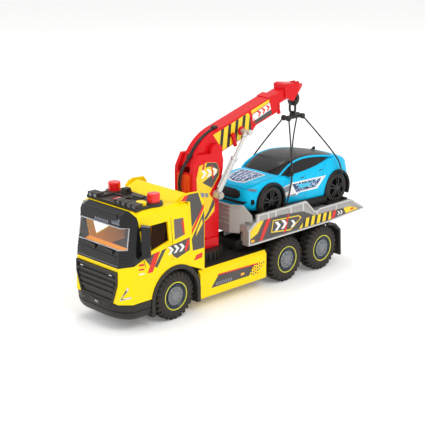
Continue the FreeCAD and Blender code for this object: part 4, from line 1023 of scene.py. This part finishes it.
def front_pad(bm, outline, out, depth):
    """Raised pad on the cab's front with a sloping edge; outline as (y, z)."""
    middle_y = sum(y for y, _ in outline) / len(outline)
    middle_z = sum(z for _, z in outline) / len(outline)
    top = []
    base = []
    for y, z in outline:
        top.append(bm.verts.new(front_spot(y, z, out)))
        grown = (middle_y + (y - middle_y) * 1.03, middle_z + (z - middle_z) * 1.16)
        base.append(bm.verts.new(front_spot(*grown, -depth)))
    bm.faces.new(top)
    join_rings(bm, top, base)


def cab_front_details():
    """Marks on the black surround, the grille and the number plate, and raised pads, a pale frame painted as
    the windscreen edge's highlight, and louvres.
    """
    hatch = [(27, 163), (44.4, 163.5), (43.6, 173), (25, 173)]
    crossed = []
    for lean in (3, -3):
        crossed += slanted_bars(hatch, 20, 50, 2.6, 0.9, lean, 162, 174)
    seams = [rect(-47, 47, z + 0.5, z) for z in (119.4, 103.2)]
    mask = [("smoke", crossed + chevrons(-12, 161.5, 4.2, 7, 4.6) + seams)]
    graphic("mask_graphic", "chassis", mask, on_front, both_sides=False)
    marks = [("white", [rect(side * 30, side * 36, 88.6, 87.4) for side in (-1, 1)])]
    graphic("grille_marks", "chassis", marks, across(GRILLE_FACE), both_sides=False)
    arrows = [("white", chevrons(-3.6, 38.8, 2.6, 3, 2.6))]
    graphic("bumper_plate_graphic", "chassis", arrows, across(PLATE_FACE), both_sides=False)
    bm = bmesh.new()
    front_pad(bm, [(-38, 178), (38, 178), (40, 170.4), (34, 168.8), (-34, 168.8), (-40, 170.4)], 1.6, 1)
    front_pad(bm, [(-42, 117.6), (42, 117.6), (40, 106), (-40, 106)], 0.9, 1)
    piece("visor_lip", bm, [MAT["gloss_black"]], "chassis", edge=0.6)
    # Pale ribbon round the windscreen, a painted highlight on the clear screen's edge.
    bm = bmesh.new()
    low = [front_spot(y, 127.6, 0.2) for y in (-55, -46.4, 46.4, 55)]
    high = [front_spot(y, 159.4, 0.2) for y in (55, 45.6, -45.6, -55)]
    add_ribbon(bm, low + high, 1.7, 1.4, up=(1, 0, 0), closed=True)
    piece("windscreen_highlight_frame", bm, [MAT["pale"]], "chassis", edge=0.3)
    bm = bmesh.new()
    for side in (-1, 1):
        for z in (108.5, 113, 117.5):
            add_ribbon(bm, [front_spot(side * 50, z, 0.3), front_spot(side * 58, z - 1.2, 0.3)], 1.5, 1.4)
    piece("corner_louvres", bm, [MAT["black"]], "chassis", edge=0.3)


BUMPER_REAR = AXLES["front"] + 49.4


def bumper_ring(bm, z, inset):
    """Plan outline of the bumper at one height, moved inwards by inset."""
    half = [(BUMPER_REAR, 63.5), (247, 63.5), (251, 62.2), (256, 59.2), (260, 55.2), (264, 48.4), (267, 40),
            (268.6, 30)]
    outline = [(x if x == BUMPER_REAR else x - inset, y - inset) for x, y in half]
    outline += [(x, -y) for x, y in reversed(outline)]
    return [bm.verts.new((x, y, z)) for x, y in outline]


def bumper():
    """Deep bumper with a lower lip, a groove, a blank plate and a slotted intake."""
    levels = [(20.5, 6), (22, 3.4), (25.5, 1.6), (30.5, 0.6), (32.6, 0.5), (33, 1.5), (34.2, 1.5),
              (34.6, 0.4), (44.6, 0.1), (45.4, 0.8)]
    bm = bmesh.new()
    rings = [bumper_ring(bm, z, inset) for z, inset in levels]
    for low, high in zip(rings, rings[1:]):
        join_rings(bm, low, high)
    bm.faces.new(rings[0])
    bm.faces.new(rings[-1])
    piece("bumper", bm, [MAT["black"]], "chassis", stands_for=["front_bumper"], crease=38)
    bm = bmesh.new()
    add_box(bm, 266, PLATE_FACE, -10.5, 10.5, 36.6, 43.6)
    for side in (-1, 1):
        add_box(bm, 266, 268.75, side * 26 - 9, side * 26 + 9, 41, 42.4)
        add_box(bm, 266, 268.75, side * 24 - 7, side * 24 + 7, 36.8, 38)
    piece("bumper_plate", bm, [MAT["gloss_black"]], "chassis", edge=0.3)


def headlamp_marks():
    """V-shaped lamps on the yellow corners."""
    def place(u, v, height):
        lean = math.sqrt(0.5)
        return (266.8 - (u - height) * lean, 48.6 + (u + height) * lean, v)
    outer = [(1.5, 52), (19, 56), (19, 59), (5, 55.2), (16, 70), (14, 73.5)]
    inner = [(3.4, 53.4), (11, 55.2), (5, 55.4), (13, 67), (11.5, 69)]
    graphic("headlamp_graphic", "chassis", [("lamp", [outer]), ("carbon", [inner])], place)


def roof_details():
    """Lenses, boxes, bolts and a printed plate on the roof unit, and ribs on the roof and the back wall."""
    plate = [(224, -12), (209, -14), (207, 6), (222, 8)]
    panel = [(221, -9), (211, -10.5), (209.5, 2), (219.5, 3.5)]
    bars = slanted_bars(panel, 206, 224, 3.2, 1.2, 1, -11, 4)
    graphic("roof_plate_graphic", "chassis", [("red", [plate]), ("white", [panel]), ("carbon", bars)],
            lambda u, v, height: (u, v, ROOF_UNIT_TOP + height), both_sides=False)
    bm = bmesh.new()
    for y in (-50, -39, 14, 26, 38, 49):
        add_box(bm, 233.2, 235.6, y - 3.6, y + 3.6, 183.6, 189.2, 1)
    for y0, y1 in ((-34, -28), (0, 6)):
        add_box(bm, 206, 231, y0, y1, 185, 188.4)
    add_box(bm, 204, 208, -36, 8, 185, 187.4)
    add_box(bm, 184, 203, -9, 30, 185, 186.6)
    add_box(bm, 188, 199, 4, 22, 186.4, 188.8)
    for x, y in ((181, -30), (181, 30), (226, 52), (226, -52), (212, 26)):
        add_box(bm, x - 1.6, x + 1.6, y - 1.6, y + 1.6, 184.6, 186.8)
    piece("roof_unit_details", bm, [MAT["roof_grey"], MAT["lamp_lens"]], "chassis", edge=0.5)
    bm = bmesh.new()
    for y in (-46, -16, 16, 46):
        add_box(bm, 150, 176, y - 1.2, y + 1.2, 180.9, 181.9)
    for y in (-44, -22, 22, 44):
        add_box(bm, 140.9, 142.2, y - 1.2, y + 1.2, 96, 166)
    piece("roof_ribs", bm, [MAT["yellow"]], "chassis", edge=0.4)


def door_details():
    """Shut lines and a handle on each door."""
    bm = bmesh.new()
    for line in (((229, 160), (233.5, 122), (226, 97)), ((177, 162), (173.5, 124), (173.5, 96))):
        add_ribbon(bm, [(x, HALF_WIDTH, z) for x, z in line], 0.7, 0.3, up=(0, 1, 0))
    mirror_y(bm)
    piece("door_shut_lines", bm, [MAT["black"]], "chassis")
    bm = bmesh.new()
    add_box(bm, 176.5, 188, HALF_WIDTH - 0.5, HALF_WIDTH + 1, 122.2, 125.4)
    mirror_y(bm)
    piece("door_handles", bm, [MAT["yellow"]], "chassis", edge=0.6)


def tail_details():
    """Rear lamps printed on the cross bar."""
    lamps = (("red", 28, 38.5), ("orange", 23.5, 27), ("white", 19.5, 22.5))
    shapes = [(kind, [rect(inner, outer, 41.2, 48.8)]) for kind, inner, outer in lamps]
    graphic("rear_lamp_graphic", "chassis", shapes, across(TAIL_BAR_FACE, -1))


# ---------------------------------------------------------------- cords
HOOK = (-154, 254)
SPREAD = 17.0
LEG_ROUTES = {
    "front": [(HOOK[0] + SPREAD, 6, HOOK[1]), (-100, 51, 180), (-91, 53.6, 148), (-80.5, 53, 116)],
    "rear": [(HOOK[0] - SPREAD, 6, HOOK[1]), (-207, 51, 190), (-219, 54, 162), (-221, 54.8, 134)],
}
LEG_RADIUS = 1.3
HOSE_RADIUS = 1.3
HOSE_OFFSET = 1.7
HOSE_ROUTE = [(30, 4, 265.4), (44.5, 3, 259.4), (58, 2, 251.9), (70.5, 1.5, 240.8),
              (80.5, 1, 226.6), (91, -0.5, 213.6), (96.2, -3, 201.6), (97.4, -5.2, 187),
              (96.6, -4.6, 171), (95.6, -3.6, 156)]


def smooth_tube(name, routes, radius, mat):
    """Round tubes on smooth lines that start and end on each route and round off its corners."""
    curve = bpy.data.curves.new(name, "CURVE")
    curve.dimensions = "3D"
    curve.bevel_depth = radius * MM
    curve.bevel_resolution = 3
    curve.resolution_u = 12
    curve.use_fill_caps = True
    for route in routes:
        spline = curve.splines.new("NURBS")
        spline.points.add(len(route) - 1)
        for point, spot in zip(spline.points, metres(route)):
            point.co = (*spot, 1)
        spline.order_u = 3
        spline.use_endpoint_u = True
    curve.materials.append(MAT[mat])
    return add_object(name, curve)


def sling_cords():
    """Four cords from the spreader over the car's shoulders to its wheels."""
    for end, route in LEG_ROUTES.items():
        for side, word in ((1, "left"), (-1, "right")):
            line = [(x, side * y, z) for x, y, z in route]
            leg = smooth_tube(f"sling_cord_{end}_{word}", [line], LEG_RADIUS, "cord")
            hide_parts(f"sling_leg_{end}_{word}")
            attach(leg, "sling")
            metres(line)[0]


def hoses():
    """Two hoses side by side that bend between the boom and the tower."""
    routes = [[(x, y + offset, z) for x, y, z in HOSE_ROUTE] for offset in (-HOSE_OFFSET, HOSE_OFFSET)]
    line = smooth_tube("crane_hose_line", routes, HOSE_RADIUS, "hose")
    made = add_object("crane_hose_pair", final_mesh(line))
    bpy.data.objects.remove(line)
    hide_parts("crane_hoses")
    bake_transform(made)


# ---------------------------------------------------------------- light, floor and camera
FLOOR_REACH = 9.0
LAMPS = [
    # name, place, size and power
    ("key", (0.3, 1.6, 1.7), 0.9, 17),
    ("fill", (1.9, -0.4, 1.2), 1, 8),
    ("back", (-1.1, -0.8, 2.4), 1.2, 14.5),
]


def studio():
    """White world, pale paper floor and three soft lamps."""
    world = bpy.data.worlds.new("studio")
    bpy.context.scene.world = world
    world.use_nodes = True
    background = world.node_tree.nodes["Background"].inputs
    background["Color"].default_value = (1, 1, 1, 1)
    background["Strength"].default_value = 0.84
    floor = bpy.data.meshes.new("floor")
    floor.from_pydata([(x, y, 0) for x, y in rect(-FLOOR_REACH, FLOOR_REACH, -FLOOR_REACH, FLOOR_REACH)], [],
                      [(0, 1, 2, 3)])
    floor.materials.append(material("floor_paper", (0.95, 0.945, 0.94), 0.9, grain=0.02, tint=0.004, edge=0,
                                    glow=0.12, spec=0.1))
    add_object("floor", floor)
    for name, spot, size, power in LAMPS:
        light = bpy.data.lights.new(name, "AREA")
        light.size = size
        light.energy = power
        aim(add_object(name, light), spot, (0, 0, 0.12))
    bpy.context.scene.view_settings.view_transform = "Standard"


def aim(item, spot, target):
    """Place a lamp or the camera and point it at the target."""
    item.location = spot
    item.rotation_euler = (Vector(target) - item.location).to_track_quat("-Z", "Y").to_euler()


def camera():
    """Camera at the viewing angle of the product shot."""
    data = bpy.data.cameras.new("camera")
    data.lens = 101.7
    data.sensor_width = 36
    data.clip_end = 50
    eye = add_object("camera", data)
    aim(eye, (1.2945, 1.3127, 0.6697), (0.0312, 0, 0.1267))
    bpy.context.scene.camera = eye


# ---------------------------------------------------------------- build
FINISHES = {
    "yellow": "cab_shell side_skirts side_fairings roof_spoiler sound_button",
    "red": "crane_column boom_outer boom_inner boom_head boom_pin",
    "black": "chassis_frame battery_box battery_cover front_fenders rear_mudguards grille turntable_base"
             " crane_hook hose_clips hose_foot sling_ring sling_spreader bed_carriage wheel_cradles"
             " car_chassis wipers",
    "gloss_black": "cab_mask mirrors",
    "roof_grey": "light_bar",
    "bed": "bed_deck bed_headboard",
    "silver": "lift_barrels lift_rods",
    "pin": "lift_pins",
    "steel": "assembly_screws axle_front axle_middle axle_rear bed_hinge_pin",
    "beacon": "beacons",
    "lens": "crane_window",
    "glass": "windscreen",
    # cab_interior gets the glowing orange, which is painted shade and light on yellow plastic.
    "orange": "cab_interior",
    "seat": "cab_seats",
}


def paint_nodes():
    """Give each CAD node that stays visible its one finish."""
    for kind, names in FINISHES.items():
        for name in names.split():
            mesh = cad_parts[name].data
            mesh.materials.clear()
            mesh.materials.append(MAT[kind])
            for face in mesh.polygons:
                face.material_index = 0


def build():
    """Make every piece."""
    paint_nodes()
    truck_wheels()
    car()
    cab_graphics()
    skirt_graphics()
    bed_graphics()
    crane_graphics()
    cab_front_details()
    bumper()
    headlamp_marks()
    roof_details()
    door_details()
    tail_details()
    sling_cords()
    hoses()
    studio()
    camera()
    bpy.context.view_layer.update()


build()
